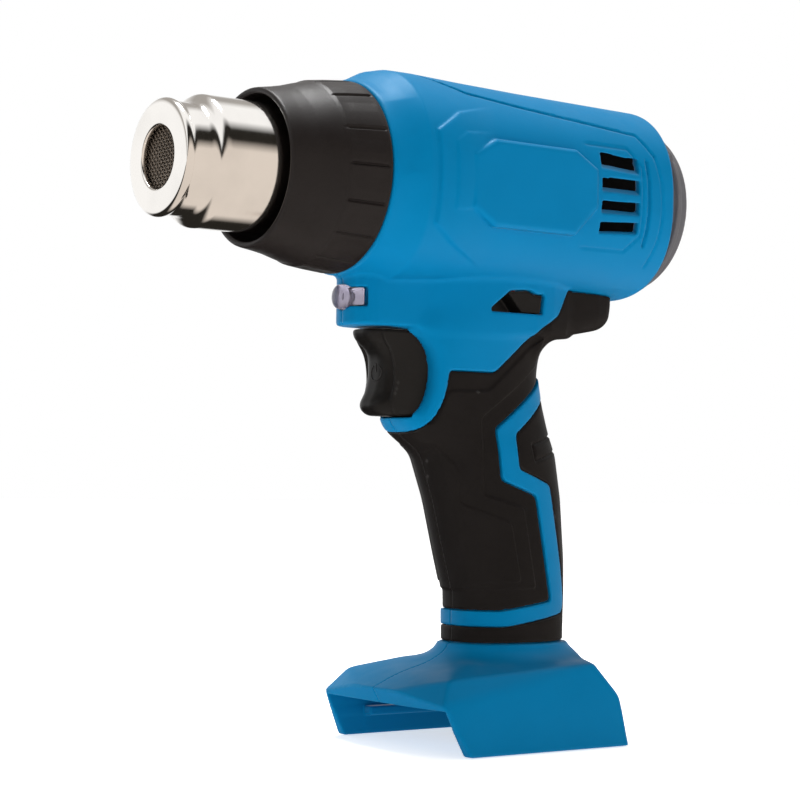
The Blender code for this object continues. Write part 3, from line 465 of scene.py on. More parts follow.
def grip(which):
    """A soft pad over the handle, on one side or down the back."""

    def field(x, y, z):
        lower = body(x, y, z)
        shape = outline(x, z, filleted(SIDE_GRIP if which == "side" else BACK_GRIP, 1.6))
        surface = lower + 0.1
        if which == "side":
            step = ramp(-outline(x, z, filleted(GRIP_STEP, 1.5)), -0.1, 0.7)
            panel = ramp(-outline(x, z, filleted(GRIP_PANEL, 2.0)), 0.0, 0.6)
            surface = lower + 0.65 - 0.6 * step - 0.4 * panel * ramp(np.abs(y), 6.0, 9.0)
        else:
            frame_line = np.abs(outline(x, z, filleted(RAKE, 0.6)))
            surface = surface + 0.7 * groove(frame_line, 0.8)
            for centre in (86.8, 75.2, 63.0, 51.0):
                across = np.maximum(np.abs(z - centre) - 2.6, 57.2 - 0.16 * (z - 86.8) - x)
                surface = surface + 0.7 * groove(np.abs(smax(across, np.abs(y) - 9.5, 1.0)), 0.8)
        found = np.maximum(smax(surface, shape, 0.9), -(lower + PAD))
        found = np.maximum(found, -(barrel(x, y, z) - GAP))
        found = smax(found, 1.2 - trigger_room(x, y, z), 0.5)
        wells = None
        for sx, sz, _ in SCREWS[5:]:
            well = np.maximum(np.sqrt((x - sx) ** 2 + (z - sz) ** 2) - 3.3, 2.0 - y)
            wells = well if wells is None else np.minimum(wells, well)
        return smax(found, -wells, 0.4)

    return field


def half_of(field, side):
    return lambda x, y, z: np.maximum(field(x, y, z), HALF_GAP - side * y)


def eased(at, points):
    """A smooth curve through (place, value) points, read at each place in at."""
    places, values = (np.array(column) for column in zip(*points))
    slopes = np.gradient(values, places)
    k = np.clip(np.searchsorted(places, at) - 1, 0, len(places) - 2)
    span = places[k + 1] - places[k]
    t = np.clip((at - places[k]) / span, 0.0, 1.0)
    value = values[k] + (values[k + 1] - values[k]) * t * t * (3.0 - 2.0 * t)
    bend = t * (1.0 - t) * ((1.0 - t) * slopes[k] - t * slopes[k + 1])
    return (value + span * bend).astype(np.float32)


def trigger_face(y, z):
    """X of the finger roll's front."""
    over = np.clip(np.abs(y) - (ROLL_HALF - ROLL_CORNER), 0.0, ROLL_CORNER)
    return eased(z, TRIGGER_ROLL) + ROLL_CORNER - np.sqrt(ROLL_CORNER**2 - over**2)


def trigger(x, y, z):
    """A finger roll between two flat sides, with a soft valley where they meet."""
    ahead = trigger_face(0.0, z) + ROLL_CORNER - x
    across = np.abs(y) - (ROLL_HALF - ROLL_CORNER)
    rounded = np.sqrt(np.maximum(ahead, 0.0) ** 2 + np.maximum(across, 0.0) ** 2) - ROLL_CORNER
    roll = rounded + np.minimum(np.maximum(ahead, across), 0.0)
    edge = eased(z, TRIGGER_SIDE)
    slab = smax(
        edge + 1.6 * np.maximum(TRIGGER_HALF - 0.8 - np.abs(y), 0.0) - x,
        np.abs(y) - TRIGGER_HALF,
        0.7,
    )
    found = np.maximum(smin(roll, slab, 0.8), x - 2.0)
    found = smax(smax(found, 106.2 - z, 2.4), z - 133.9, 1.4)
    # Deep enough for the spring at full pull, because the spring keeps its length when posed
    spring = np.maximum(np.sqrt(y * y + (z - 127.0) ** 2) - 3.2, -10.6 - x)
    plunger = np.maximum(np.sqrt(y * y + (z - 113.0) ** 2) - 2.4, -3.0 - x)
    return np.maximum(found, -np.minimum(spring, plunger))


def lock_button(x, y, z):
    shape = outline(x, z, filleted(LOCK, 0.8)) + 0.4
    face = 16.2 - 5.2 * ramp(x + 0.9 * (z - 141.0), 33.6, 32.4) - 0.05 * (41.0 - x)
    return smax(shape, np.abs(y) - face, 0.5)


def lens(x, y, z):
    h = z - 143.6
    around = np.sqrt(y * y + h * h)
    dome = np.sqrt((x + 24.6) ** 2 + y * y + h * h) - 6.2
    eye = smax(smax(around - 3.9, dome, 0.5), x + 25.6, 0.3)
    nose = np.sqrt((x + 18.1) ** 2 + y * y) - 10.15
    wings = smax(smax(np.abs(y) - 7.5, np.abs(h) - 2.7, 0.4), np.maximum(nose, x + 24.4), 0.4)
    return smin(eye, wings, 0.3)


def rear_cover(x, y, z):
    h = z - AXIS_Z
    around = np.sqrt(y * y + h * h)
    profile = [
        (96.0, -1.0), (96.0, 26.4), (95.6, 27.5), (94.6, 28.2), (91.4, 29.3), (90.6, 30.4), (88.0, 31.5),
        (87.4, 30.2), (85.6, 30.2),
        (85.6, 29.0), (82.0, 29.0), (82.0, 27.4), (92.6, 25.6), (93.4, 24.0), (93.4, -1.0),
    ]
    found = outline(x, around, profile)
    found = found + 0.35 * groove(np.abs(around - 24.4), 0.7) * ramp(x, 94.5, 95.5)
    for row in range(4):
        level = 9.0 * (row - 1.5)
        half = math.sqrt(21.0**2 - level**2)
        slot = np.maximum(np.abs(np.abs(y) - (half + 3.0) / 2) - (half - 3.0) / 2 + 1.5, 0.0)
        found = smax(found, 1.5 - np.sqrt(slot**2 + (h - level) ** 2), 0.5)
    for angle in np.radians((30, 150, 270)):
        notch = np.sqrt((y - 31.8 * math.cos(angle)) ** 2 + (h - 31.8 * math.sin(angle)) ** 2) - 2.0
        found = smax(found, -np.maximum(notch, 88.6 - x), 0.4)
    return found


# ---------------------------------------------------------------- meshing


def to_mesh(name, field, low, high, voxel):
    """A quad mesh of the field's surface, its points moved onto the field."""
    axes = [np.arange(a, b + voxel, voxel, dtype=np.float32) for a, b in zip(low, high)]
    y, z = axes[1][None, :, None], axes[2][None, None, :]
    slabs = []
    for start in range(0, len(axes[0]), 24):
        x = axes[0][start : start + 24][:, None, None]
        slabs.append(np.broadcast_to(field(x, y, z), (x.shape[0], y.shape[1], z.shape[2])).astype(np.float32))
    values = np.clip(np.concatenate(slabs), -3.0, 3.0)
    grid = openvdb.FloatGrid(3.0)
    grid.copyFromArray(values)
    points, quads = grid.convertToQuads(isovalue=0.0)
    points = np.asarray(points, np.float64) * voxel + np.array(low)
    for _ in range(3):
        x, y, z = points.T
        value = np.asarray(field(x, y, z), np.float64)
        step = 0.05
        slope = np.stack(
            [
                np.asarray(field(*(points + np.eye(3)[i] * step).T), np.float64)
                - np.asarray(field(*(points - np.eye(3)[i] * step).T), np.float64)
                for i in range(3)
            ],
            axis=1,
        ) / (2 * step)
        length = np.maximum((slope**2).sum(1), 0.2)
        move = -(value / length)[:, None] * slope
        size = np.linalg.norm(move, axis=1, keepdims=True)
        points = points + move * np.minimum(1.0, 0.45 * voxel / np.maximum(size, 1e-9))
    mesh = bpy.data.meshes.new(name)
    mesh.vertices.add(len(points))
    mesh.vertices.foreach_set("co", (points * MM).astype(np.float32).ravel())
    mesh.loops.add(len(quads) * 4)
    mesh.loops.foreach_set("vertex_index", np.asarray(quads, np.int32).ravel())
    mesh.polygons.add(len(quads))
    mesh.polygons.foreach_set("loop_start", np.arange(0, len(quads) * 4, 4, dtype=np.int32))
    mesh.update(calc_edges=True)
    mesh.validate()
    mesh.shade_smooth()
    obj = bpy.data.objects.new(name, mesh)
    bpy.context.scene.collection.objects.link(obj)
    print(name, len(quads), "quads")
    return obj


def lathe(name, profile, segments, shift=None, spacing=0.5):
    """Turns a closed (x, radius) profile about the barrel axis. shift(x, radius, angle) adds to
    the radius, for grooves and dents."""
    dense = []
    for (ax, ar), (bx, br) in zip(profile, profile[1:] + profile[:1]):
        steps = max(1, int(math.hypot(bx - ax, br - ar) / spacing))
        dense += [(ax + (bx - ax) * i / steps, ar + (br - ar) * i / steps) for i in range(steps)]
    x, radius = np.array(dense).T
    angle = np.linspace(0, 2 * np.pi, segments, endpoint=False)
    xx, aa = np.meshgrid(x, angle, indexing="ij")
    rr = np.repeat(radius[:, None], segments, axis=1)
    if shift:
        rr = rr + shift(xx, rr, aa)
    points = np.stack([xx, -rr * np.cos(aa), AXIS_Z + rr * np.sin(aa)], axis=2).reshape(-1, 3) * MM
    count = len(x)
    faces = []
    for i in range(count):
        below = ((i + 1) % count) * segments
        here = i * segments
        for j in range(segments):
            k = (j + 1) % segments
            faces.append((here + j, here + k, below + k, below + j))
    mesh = bpy.data.meshes.new(name)
    mesh.from_pydata(points.tolist(), [], faces)
    shape = bmesh.new()
    shape.from_mesh(mesh)
    bmesh.ops.recalc_face_normals(shape, faces=shape.faces)
    shape.to_mesh(mesh)
    shape.free()
    mesh.shade_smooth()
    obj = bpy.data.objects.new(name, mesh)
    bpy.context.scene.collection.objects.link(obj)
    return obj


def tubes(name, routes, radius, sides=6):
    """Round wires along routes of millimetre points, as one mesh."""
    points, faces = [], []
    for route in routes:
        route = np.array(route, float)
        along = np.gradient(route, axis=0)
        along /= np.linalg.norm(along, axis=1, keepdims=True)
        helper = np.array([0.0, 0.0, 1.0]) if abs(along[0, 2]) < 0.8 else np.array([0.0, 1.0, 0.0])
        first = np.cross(along, helper)
        first /= np.linalg.norm(first, axis=1, keepdims=True)
        second = np.cross(along, first)
        base = len(points)
        for centre, a, b in zip(route, first, second):
            for side in range(sides):
                turn = 2 * math.pi * side / sides
                points.append(centre + radius * (math.cos(turn) * a + math.sin(turn) * b))
        for i in range(len(route) - 1):
            for side in range(sides):
                other = (side + 1) % sides
                low, high = base + i * sides, base + (i + 1) * sides
                faces.append((low + side, low + other, high + other, high + side))
        faces.append(tuple(base + side for side in reversed(range(sides))))
        faces.append(tuple(base + (len(route) - 1) * sides + side for side in range(sides)))
    mesh = bpy.data.meshes.new(name)
    mesh.from_pydata((np.array(points) * MM).tolist(), [], faces)
    shape = bmesh.new()
    shape.from_mesh(mesh)
    bmesh.ops.recalc_face_normals(shape, faces=shape.faces)
    shape.to_mesh(mesh)
    shape.free()
    mesh.shade_smooth()
    obj = bpy.data.objects.new(name, mesh)
    bpy.context.scene.collection.objects.link(obj)
    return obj


# ---------------------------------------------------------------- materials


def plastic(name, colour, roughness, grain=0.0, grain_size=0.45, speck=0.04, edge_wear_and_highlight=0.12, coat=0.0,
    specular=0.5, sheen=(1, 1, 1)):
    """Moulded or painted surface: fine grain, slow drift of colour, and paler edges that stand for wear and
    for a painted highlight on edges.
    """
    made = bpy.data.materials.new(name)
    made.use_nodes = True
    tree = made.node_tree
    nodes, links = tree.nodes, tree.links
    shader = nodes["Principled BSDF"]
    shader.inputs["Specular IOR Level"].default_value = specular
    shader.inputs["Specular Tint"].default_value = (*sheen, 1.0)
    shader.inputs["Coat Weight"].default_value = coat
    shader.inputs["Coat Roughness"].default_value = 0.25
    place = nodes.new("ShaderNodeTexCoord")

    def noise(scale_mm, detail):
        node = nodes.new("ShaderNodeTexNoise")
        node.inputs["Scale"].default_value = 1000.0 / scale_mm
        node.inputs["Detail"].default_value = detail
        links.new(place.outputs["Object"], node.inputs["Vector"])
        return node.outputs["Fac"]

    def spread(value, low, high):
        node = nodes.new("ShaderNodeMapRange")
        node.inputs["From Min"].default_value = 0.3
        node.inputs["From Max"].default_value = 0.7
        node.inputs["To Min"].default_value = low
        node.inputs["To Max"].default_value = high
        links.new(value, node.inputs["Value"])
        return node.outputs["Result"]

    def mix(factor, first, second):
        node = nodes.new("ShaderNodeMix")
        node.data_type = "RGBA"
        links.new(factor, node.inputs["Factor"])
        for socket, value in ((node.inputs["A"], first), (node.inputs["B"], second)):
            if isinstance(value, tuple):
                socket.default_value = (*value, 1.0)
            else:
                links.new(value, socket)
        return node.outputs["Result"]

    dark = tuple(part * (1 - speck) for part in colour)
    light = tuple(min(1.0, part * (1 + speck) + 0.001) for part in colour)
    drift = mix(spread(noise(22.0, 3.0), 0.0, 1.0), dark, light)
    fine = mix(spread(noise(grain_size * 2.2, 2.0), 0.0, 0.35), drift, light)
    # Convex edges are painted paler from pointiness: partly wear, partly a painted highlight where edges
    # would catch the light.
    geometry = nodes.new("ShaderNodeNewGeometry")
    edge = nodes.new("ShaderNodeMapRange")
    edge.inputs["From Min"].default_value = 0.53
    edge.inputs["From Max"].default_value = 0.62
    edge.inputs["To Max"].default_value = edge_wear_and_highlight
    links.new(geometry.outputs["Pointiness"], edge.inputs["Value"])
    pale = tuple(min(1.0, part * 1.5 + 0.02) for part in colour)
    links.new(mix(edge.outputs["Result"], fine, pale), shader.inputs["Base Color"])
    links.new(spread(noise(9.0, 4.0), roughness - 0.05, roughness + 0.05), shader.inputs["Roughness"])
    if grain:
        bump = nodes.new("ShaderNodeBump")
        bump.inputs["Strength"].default_value = grain
        bump.inputs["Distance"].default_value = 0.0001
        links.new(noise(grain_size, 3.0), bump.inputs["Height"])
        links.new(bump.outputs["Normal"], shader.inputs["Normal"])
    return made


def metal(name, colour, roughness, streak=0.25, across=(1.0, 1.0, 1.0), tarnish=0.1):
    """Metal with fine turning or rolling marks, and a slow change of tint."""
    made = bpy.data.materials.new(name)
    made.use_nodes = True
    nodes, links = made.node_tree.nodes, made.node_tree.links
    shader = nodes["Principled BSDF"]
    shader.inputs["Metallic"].default_value = 1.0
    place = nodes.new("ShaderNodeTexCoord")
    stretch = nodes.new("ShaderNodeMapping")
    stretch.inputs["Scale"].default_value = across
    links.new(place.outputs["Object"], stretch.inputs["Vector"])
    marks = nodes.new("ShaderNodeTexNoise")
    marks.inputs["Scale"].default_value = 2200.0
    marks.inputs["Detail"].default_value = 3.0
    links.new(stretch.outputs["Vector"], marks.inputs["Vector"])
    clouds = nodes.new("ShaderNodeTexNoise")
    clouds.inputs["Scale"].default_value = 55.0
    clouds.inputs["Detail"].default_value = 4.0
    links.new(place.outputs["Object"], clouds.inputs["Vector"])
    tint = nodes.new("ShaderNodeMix")
    tint.data_type = "RGBA"
    tint.inputs["A"].default_value = (*colour, 1.0)
    tint.inputs["B"].default_value = (*(part * (1 - 2.2 * tarnish) for part in colour), 1.0)
    spread = nodes.new("ShaderNodeMapRange")
    spread.inputs["From Min"].default_value = 0.45
    spread.inputs["From Max"].default_value = 0.75
    links.new(clouds.outputs["Fac"], spread.inputs["Value"])
    links.new(spread.outputs["Result"], tint.inputs["Factor"])
    links.new(tint.outputs["Result"], shader.inputs["Base Color"])
    rough = nodes.new("ShaderNodeMapRange")
    rough.inputs["To Min"].default_value = max(0.02, roughness - 0.05)
    rough.inputs["To Max"].default_value = roughness + 0.07
    links.new(marks.outputs["Fac"], rough.inputs["Value"])
    links.new(rough.outputs["Result"], shader.inputs["Roughness"])
    bump = nodes.new("ShaderNodeBump")
    bump.inputs["Strength"].default_value = streak
    bump.inputs["Distance"].default_value = 0.00002
    links.new(marks.outputs["Fac"], bump.inputs["Height"])
    links.new(bump.outputs["Normal"], shader.inputs["Normal"])
    return made


def clear_plastic(name, tint, roughness, transmission):
    made = plastic(name, tint, roughness, grain=0.05, grain_size=1.2, speck=0.05, edge_wear_and_highlight=0.2)
    shader = made.node_tree.nodes["Principled BSDF"]
    shader.inputs["Transmission Weight"].default_value = transmission
    shader.inputs["IOR"].default_value = 1.49
    return made


MATERIALS = {
    "blue_housing": plastic("blue_housing", (0.0, 0.155, 0.34), 0.45, 0.22, 0.35, 0.03, 0.3, specular=0.14,
    sheen=(0.1, 0.6, 1.0)),
    # The rubber's strong edge paling is mostly a painted highlight on its step edges and rib outlines, with a
    # little wear.
    "grip_rubber": plastic("grip_rubber", (0.0078, 0.0062, 0.0057), 0.5, 0.5, 0.4, 0.15, 0.9, specular=0.09),
    "grey_cover": plastic("grey_cover", (0.085, 0.083, 0.092), 0.45, 0.35, 0.4, 0.06, 0.3, specular=0.3),
    "black_guard": plastic("black_guard", (0.009, 0.0066, 0.0062), 0.42, 0.5, 0.4, 0.12, 0.6, specular=0.22),
    "trigger_plastic": plastic("trigger_plastic", (0.0055, 0.0048, 0.0044), 0.38, 0.35, 0.35, 0.12, 0.5,
    specular=0.2),
    "black_plastic": plastic("black_plastic", (0.012, 0.011, 0.0105), 0.45, 0.3, 0.4, 0.1, 0.3, specular=0.3),
    "foam": plastic("foam", (0.012, 0.011, 0.011), 0.9, 1.0, 1.4, 0.3, 0.1, specular=0.1),
    "nozzle_steel": metal("nozzle_steel", (0.94, 0.91, 0.87), 0.09, 0.1, (1.0, 0.05, 0.05), 0.04),
    "mesh_wire": metal("mesh_wire", (0.34, 0.3, 0.26), 0.38, 0.3, (1, 1, 1), 0.2),
    "zinc_steel": metal("zinc_steel", (0.6, 0.6, 0.62), 0.3, 0.3, (1, 1, 1), 0.12),
    "heating_wire": metal("heating_wire", (0.3, 0.27, 0.26), 0.42, 0.3, (1, 1, 1), 0.2),
    "copper": metal("copper", (0.82, 0.45, 0.26), 0.25, 0.25, (0.1, 1, 1), 0.2),
    "bare_aluminium": metal("bare_aluminium", (0.78, 0.79, 0.8), 0.3, 0.3, (1, 1, 0.05), 0.08),
    "mica": plastic("mica", (0.5, 0.44, 0.35), 0.5, 0.5, 1.5, 0.2, 0.1, coat=0.2),
    "ceramic": plastic("ceramic", (0.78, 0.75, 0.68), 0.6, 0.3, 0.6, 0.06, 0.1),
    "nylon": plastic("nylon", (0.66, 0.65, 0.6), 0.45, 0.2, 0.6, 0.05, 0.1),
    "circuit_board": plastic("circuit_board", (0.015, 0.14, 0.05), 0.35, 0.35, 1.2, 0.25, 0.1, coat=0.3),
    "red_wire": plastic("red_wire", (0.45, 0.02, 0.02), 0.35, 0.1, 1.0, 0.08, 0.1),
    "black_wire": plastic("black_wire", (0.02, 0.02, 0.02), 0.35, 0.1, 1.0, 0.1, 0.1),
    "white_wire": plastic("white_wire", (0.68, 0.67, 0.62), 0.6, 0.4, 0.7, 0.08, 0.05),
    "clear_lens": clear_plastic("clear_lens", (0.4, 0.37, 0.47), 0.08, 0.85),
}


def dress(obj, slot):
    obj.data.materials.clear()
    obj.data.materials.append(MATERIALS[slot])


def place(obj, body_name, slot, *nodes):
    dress(obj, slot)
    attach(obj, body_name)
    if nodes:
        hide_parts(*nodes)
    return obj


# ---------------------------------------------------------------- pieces


def build_housing(voxel):
    left = to_mesh("left_shell", half_of(housing, -1), (-31.5, -38.0, -1.5), (86.6, 0.8, 218.5), voxel)
    place(left, "housing", "blue_housing", "left_housing")
    right = to_mesh("right_shell", half_of(housing, 1), (-31.5, -0.8, -1.5), (86.6, 38.0, 218.5), voxel)
    place(right, "housing", "blue_housing", "right_housing")
    for shell in (left, right):
        shell.visible_glossy = False


def build_grips(voxel):
    for which, low, high in (("side", (-15.0, 40.0), (84.0, 153.0)), ("back", (10.0, 31.0), (64.0, 119.0))):
        left = to_mesh(f"left_{which}_pad", half_of(grip(which), -1), (low[0], -18.6, low[1]),
            (high[0], 0.8, high[1]), voxel)
        place(left, "housing", "grip_rubber", f"left_{which}_grip")
        right = to_mesh(f"right_{which}_pad", half_of(grip(which), 1), (low[0], -0.8, low[1]),
            (high[0], 18.6, high[1]), voxel)
        place(right, "housing", "grip_rubber", f"right_{which}_grip")


def build_nozzle():
    profile = [
        (-12.0, 25.0), (-13.6, 25.0), (-13.6, 20.6), (-14.2, 20.4), (-82.4, 20.4), (-83.3, 20.25),
        (-84.0, 19.8), (-84.6, 19.0),
        (-85.2, 18.1), (-85.9, 17.5), (-86.8, 17.3), (-91.6, 17.3), (-92.6, 17.35), (-93.3, 17.6),
        (-93.9, 17.9),
        (-94.6, 18.0), (-95.2, 17.85), (-95.65, 17.45), (-95.92, 16.8), (-96.0, 16.0), (-96.0, 10.3),
        (-95.88, 9.9),
        (-95.55, 9.65), (-95.0, 9.6), (-94.4, 9.6), (-94.4, 16.0), (-86.0, 16.3), (-84.0, 19.6),
        (-12.0, 19.6),
    ]

    def dents(x, radius, angle):
        found = np.zeros_like(x)
        for level in (-24.0, 96.0, 216.0):
            off = (np.degrees(angle) - level + 180) % 360 - 180
            spot = ((x + 89.2) / 0.8) ** 2 + (off * 0.3 / 0.8) ** 2
            found -= 0.16 * np.exp(-spot) * (radius > 17.0) * (x > -92.5)
        return found

    tube = lathe("nozzle_shell", profile, 192, dents)
    place(tube, "housing", "nozzle_steel", "nozzle_tube")
    routes = []
    pitch, reach = 1.05, 14.2
    count = int(reach / pitch)
    for index in range(-count, count + 1):
        offset = index * pitch
        half = math.sqrt(reach**2 - offset**2)
        if half < 1.0:
            continue
        run = np.arange(-half, half, 0.26)
        wave = 0.2 * np.cos(np.pi * run / pitch + math.pi * index)
        routes.append([(-93.1 + w, offset, AXIS_Z + s) for s, w in zip(run, wave)])
        routes.append([(-93.1 - w, s, AXIS_Z + offset) for s, w in zip(run, wave)])
    place(tubes("outlet_weave", routes, 0.21, 5), "housing", "mesh_wire", "outlet_mesh")


GUARD_GROOVES = (73.0, 50.0, 23.0, 0.5, -22.0, -44.0, -67.0, 97.0, 121.0, 145.0, 168.0, 190.0, 212.0, 234.0,
    256.0, 277.0)


def build_guard():
    profile = [
        (-30.7, 30.35), (-31.1, 30.6), (-33.0, 30.6), (-40.0, 29.9), (-45.2, 29.2), (-45.9, 28.75),
        (-50.0, 27.65),
        (-54.0, 26.5), (-58.0, 25.7), (-62.3, 25.0), (-63.2, 24.8), (-63.7, 24.3), (-63.7, 23.5),
        (-63.3, 23.0),
        (-62.5, 22.9), (-50.0, 23.5), (-40.0, 26.0), (-22.0, 26.0), (-22.0, 27.6), (-30.7, 27.6),
    ]

    def grooves(x, radius, angle):
        found = np.zeros_like(x)
        outer = (radius > 26.8 - 0.12 * (x + 50.0) * 0) & (x < -30.9) & (x > -46.5)
        for level in GUARD_GROOVES:
            off = ((np.degrees(angle) - level + 180) % 360 - 180) * 0.52
            depth = groove(np.abs(off), 0.75) * ramp(x, -45.6, -44.4) * ramp(x, -31.6, -32.4)
            slope = (
                np.clip(1.0 - np.abs(off + 4.0) / 4.0, 0.0, 1.0)
                * ramp(x, -45.6, -42.0)
                * ramp(x, -31.4, -33.4)
            )
            found -= (0.85 * depth + 0.25 * slope * (off < 0)) * outer
        return found

    place(lathe("guard_shell", profile, 720, grooves, 0.45), "guard", "black_guard", "front_guard")


def build_controls(voxel):
    blade = to_mesh("trigger_shell", trigger, (-24.6, -9.2, 105.0), (3.0, 9.2, 135.0), voxel)
    place(blade, "trigger", "trigger_plastic", "trigger")
    ring = [math.radians(a) for a in np.linspace(125, 415, 40)]
    flat = [[(2.6 * math.cos(a) - 1.0, 120.0 + 2.6 * math.sin(a)) for a in ring],
        [(-1.0, 120.3 + 0.35 * i) for i in range(9)]]
    routes = [[(float(trigger_face(y, h)) - 0.02, y, h) for y, h in line] for line in flat]
    place(tubes("power_symbol", routes, 0.2, 8), "trigger", "black_plastic")
    place(to_mesh("lock_slider", lock_button, (17.0, -18.0, 139.5), (43.0, 18.0, 150.5), 0.45), "lock",
        "trigger_plastic", "lock_button")
    place(to_mesh("lens_shell", lens, (-32.5, -10.0, 138.5), (-22.5, 10.0, 148.5), 0.3), "housing",
        "clear_lens", "led_lens")
    place(to_mesh("tail_cover", rear_cover, (80.5, -33.5, 148.0), (97.2, 33.5, 215.0), 0.55), "housing",
        "grey_cover", "rear_cover")


def build_screws():
    for index, (sx, sz, head) in enumerate(SCREWS):
        profile = [(0.0, 0.0), (0.0, 1.2), (0.0, 2.3), (-0.3, 2.7), (-0.9, 2.85), (-1.7, 2.8), (-2.0, 2.6),
            (-2.0, 1.45), (-11.5, 1.45), (-13.0, 0.5), (-13.0, 0.0)]
        shape = bmesh.new()
        rings = []
        sides = 48
        for step, (along, radius) in enumerate(profile):
            ring = []
            for side in range(sides):
                turn = 2 * math.pi * side / sides
                star = 1.35 + 0.25 * math.cos(6 * turn)
                deep = along
                reach = radius
                if step == 1:
                    reach = star
                    deep = -0.9
                if step == 0:
                    deep = -0.9
                ring.append(shape.verts.new(((sx + reach * math.cos(turn)) * MM, (head + deep) * MM,
                    (sz + reach * math.sin(turn)) * MM)))
            rings.append(ring)
            if step == 1:
                lip = []
                for side in range(sides):
                    turn = 2 * math.pi * side / sides
                    star = 1.42 + 0.25 * math.cos(6 * turn)
                    lip.append(shape.verts.new(((sx + star * math.cos(turn)) * MM, head * MM,
                        (sz + star * math.sin(turn)) * MM)))
                rings.append(lip)
        for a, b in zip(rings, rings[1:]):
            for side in range(sides):
                other = (side + 1) % sides
                shape.faces.new((a[side], a[other], b[other], b[side]))
        bmesh.ops.remove_doubles(shape, verts=shape.verts, dist=1e-7)
        bmesh.ops.recalc_face_normals(shape, faces=shape.faces)
        mesh = bpy.data.meshes.new(f"screw_{index + 1}")
        shape.to_mesh(mesh)
        shape.free()
        mesh.shade_smooth()
        mesh.set_sharp_from_angle(angle=math.radians(40))
        obj = bpy.data.objects.new(mesh.name, mesh)
        bpy.context.scene.collection.objects.link(obj)
        place(obj, "housing", "zinc_steel", f"housing_screw_{index + 1}")


def dress_cad():
    """Gives every CAD piece that stays the material of its slot."""
    slots = {row["node"]: row["material_slot"] for row in frame["record"]["subparts"]}
    for name, obj in frame["nodes"].items():
        dress(obj, slots[name])
        obj.data.shade_smooth()
        obj.data.set_sharp_from_angle(angle=math.radians(32))


# ---------------------------------------------------------------- camera and light


def light(name, at, target, size, power, colour=(1, 1, 1)):
    data = bpy.data.lights.new(name, "AREA")
    data.shape = "RECTANGLE"
    data.size, data.size_y = size
    data.energy = power
    data.color = colour
    obj = bpy.data.objects.new(name, data)
    obj.location = at
    obj.rotation_euler = (Vector(target) - Vector(at)).to_track_quat("-Z", "Y").to_euler()
    obj.visible_glossy = False
    bpy.context.scene.collection.objects.link(obj)
    return obj


# The studio's cards and flags, by turn about the barrel axis: 0 is behind the gun and low, 0.5 is
# the camera's side and 0.75 is overhead
SOFTBOX = (1.0, 1.0, 1.0)
CREAM_CARD = (0.75, 0.67, 0.6)
GREY_WALL = (0.4, 0.38, 0.36)
BLACK_FLAG = (0.02, 0.018, 0.015)
CARDS = (
    (0.02, SOFTBOX), (0.05, BLACK_FLAG), (0.15, BLACK_FLAG), (0.2, CREAM_CARD), (0.55, CREAM_CARD),
    (0.6, BLACK_FLAG), (0.65, BLACK_FLAG),
    (0.7, SOFTBOX), (0.8, SOFTBOX), (0.85, GREY_WALL), (0.9, GREY_WALL), (0.95, SOFTBOX),
)


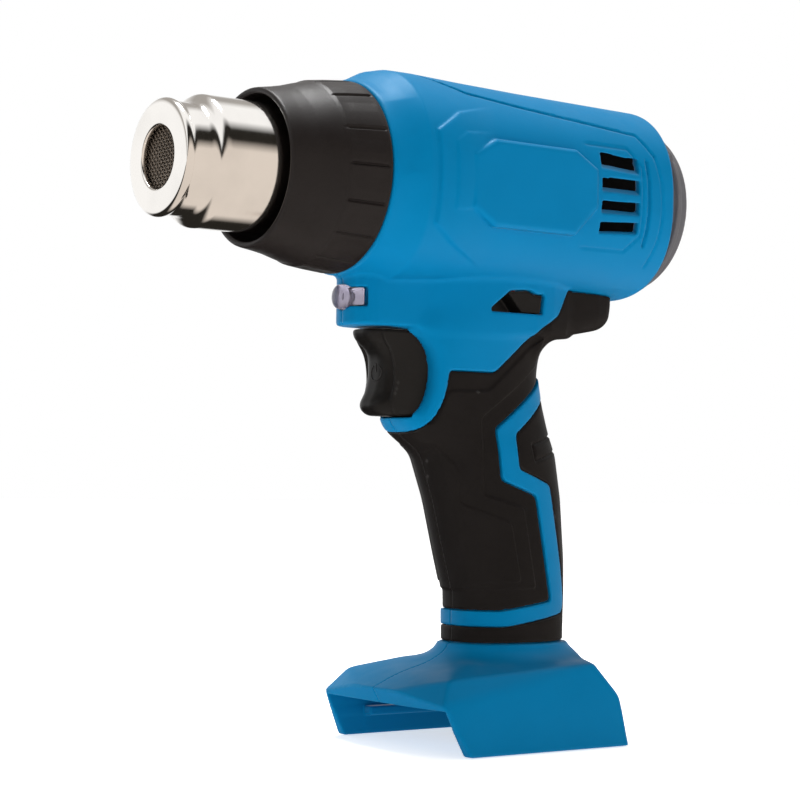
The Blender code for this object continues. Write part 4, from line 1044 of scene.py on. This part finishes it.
def studio():
    """White paper below and behind the gun, and cards and flags all round it."""
    size = 6.0
    floor = bpy.data.meshes.new("floor")
    floor.from_pydata([(-size, -size, 0), (size, -size, 0), (size, size, 0), (-size, size, 0)], [],
        [(0, 1, 2, 3)])
    ground = bpy.data.objects.new("floor", floor)
    ground.location.z = -0.0003
    bpy.context.scene.collection.objects.link(ground)
    paper = plastic("floor_paper", (0.84, 0.84, 0.84), 0.9, 0.1, 2.0, 0.01, 0.0, specular=0.0)
    shader = paper.node_tree.nodes["Principled BSDF"]
    shader.inputs["Emission Color"].default_value = (1.0, 1.0, 1.0, 1.0)
    shader.inputs["Emission Strength"].default_value = 0.62
    floor.materials.append(paper)
    ground.visible_glossy = False

    world = bpy.data.worlds.new("studio")
    world.use_nodes = True
    bpy.context.scene.world = world
    nodes, links = world.node_tree.nodes, world.node_tree.links
    direction = nodes.new("ShaderNodeTexCoord")
    split = nodes.new("ShaderNodeSeparateXYZ")
    links.new(direction.outputs["Generated"], split.inputs["Vector"])
    flip = nodes.new("ShaderNodeMath")
    flip.operation = "MULTIPLY"
    flip.inputs[1].default_value = -1.0
    links.new(split.outputs["Y"], flip.inputs[0])
    angle = nodes.new("ShaderNodeMath")
    angle.operation = "ARCTAN2"
    links.new(split.outputs["Z"], angle.inputs[0])
    links.new(flip.outputs["Value"], angle.inputs[1])
    turn = nodes.new("ShaderNodeMapRange")
    turn.inputs["From Min"].default_value = -math.pi
    turn.inputs["From Max"].default_value = math.pi
    links.new(angle.outputs["Value"], turn.inputs["Value"])
    cards = nodes.new("ShaderNodeValToRGB")
    links.new(turn.outputs["Result"], cards.inputs["Fac"])
    stops = cards.color_ramp.elements
    stops[0].position, stops[0].color = 0.0, (1, 1, 1, 1)
    stops[1].position, stops[1].color = 1.0, (1, 1, 1, 1)
    for turned, shade in CARDS:
        stops.new(turned).color = (*shade, 1)
    # The camera sees white paper, and only reflections and shading see the cards. The Mix node's colours are
    # its inputs 6 and 7 and its output 2.
    sees = nodes.new("ShaderNodeLightPath")
    paper_behind = nodes.new("ShaderNodeMix")
    paper_behind.data_type = "RGBA"
    links.new(sees.outputs["Is Camera Ray"], paper_behind.inputs[0])
    links.new(cards.outputs["Color"], paper_behind.inputs[6])
    paper_behind.inputs[7].default_value = (1, 1, 1, 1)
    background = nodes["Background"]
    links.new(paper_behind.outputs[2], background.inputs["Color"])
    background.inputs["Strength"].default_value = 1.0

    light("key", (0.45, -1.2, 0.6), (0, 0, 0.12), (0.6, 0.6), 3.0)
    light("front", (-1.1, -0.3, 0.5), (0, 0, 0.15), (0.6, 0.6), 0.4)
    light("top", (0.0, 0.18, 1.15), (0, 0, 0.15), (0.4, 0.4), 13.0).visible_glossy = True

    bpy.context.scene.view_settings.view_transform = "Standard"


def camera():
    yaw, pitch, roll = 0.62948, 0.03766, 0.015367
    forward = Vector((math.sin(yaw) * math.cos(pitch), math.cos(yaw) * math.cos(pitch), math.sin(pitch)))
    right = forward.cross(Vector((0, 0, 1))).normalized()
    up = right.cross(forward)
    tilted_right = right * math.cos(roll) + up * math.sin(roll)
    tilted_up = -right * math.sin(roll) + up * math.cos(roll)
    turn = Matrix((tilted_right, tilted_up, -forward)).transposed().to_4x4()
    data = bpy.data.cameras.new("camera")
    data.lens = 95.26
    data.sensor_width = 36.0
    data.clip_start = 0.01
    obj = bpy.data.objects.new("camera", data)
    obj.matrix_world = Matrix.Translation((-0.4081, -0.5540, 0.08576)) @ turn
    bpy.context.scene.collection.objects.link(obj)
    bpy.context.scene.camera = obj


def main():
    voxel = 0.62
    camera()
    studio()
    dress_cad()
    build_housing(voxel)
    build_grips(0.55)
    build_nozzle()
    build_guard()
    build_controls(0.5)
    build_screws()


main()
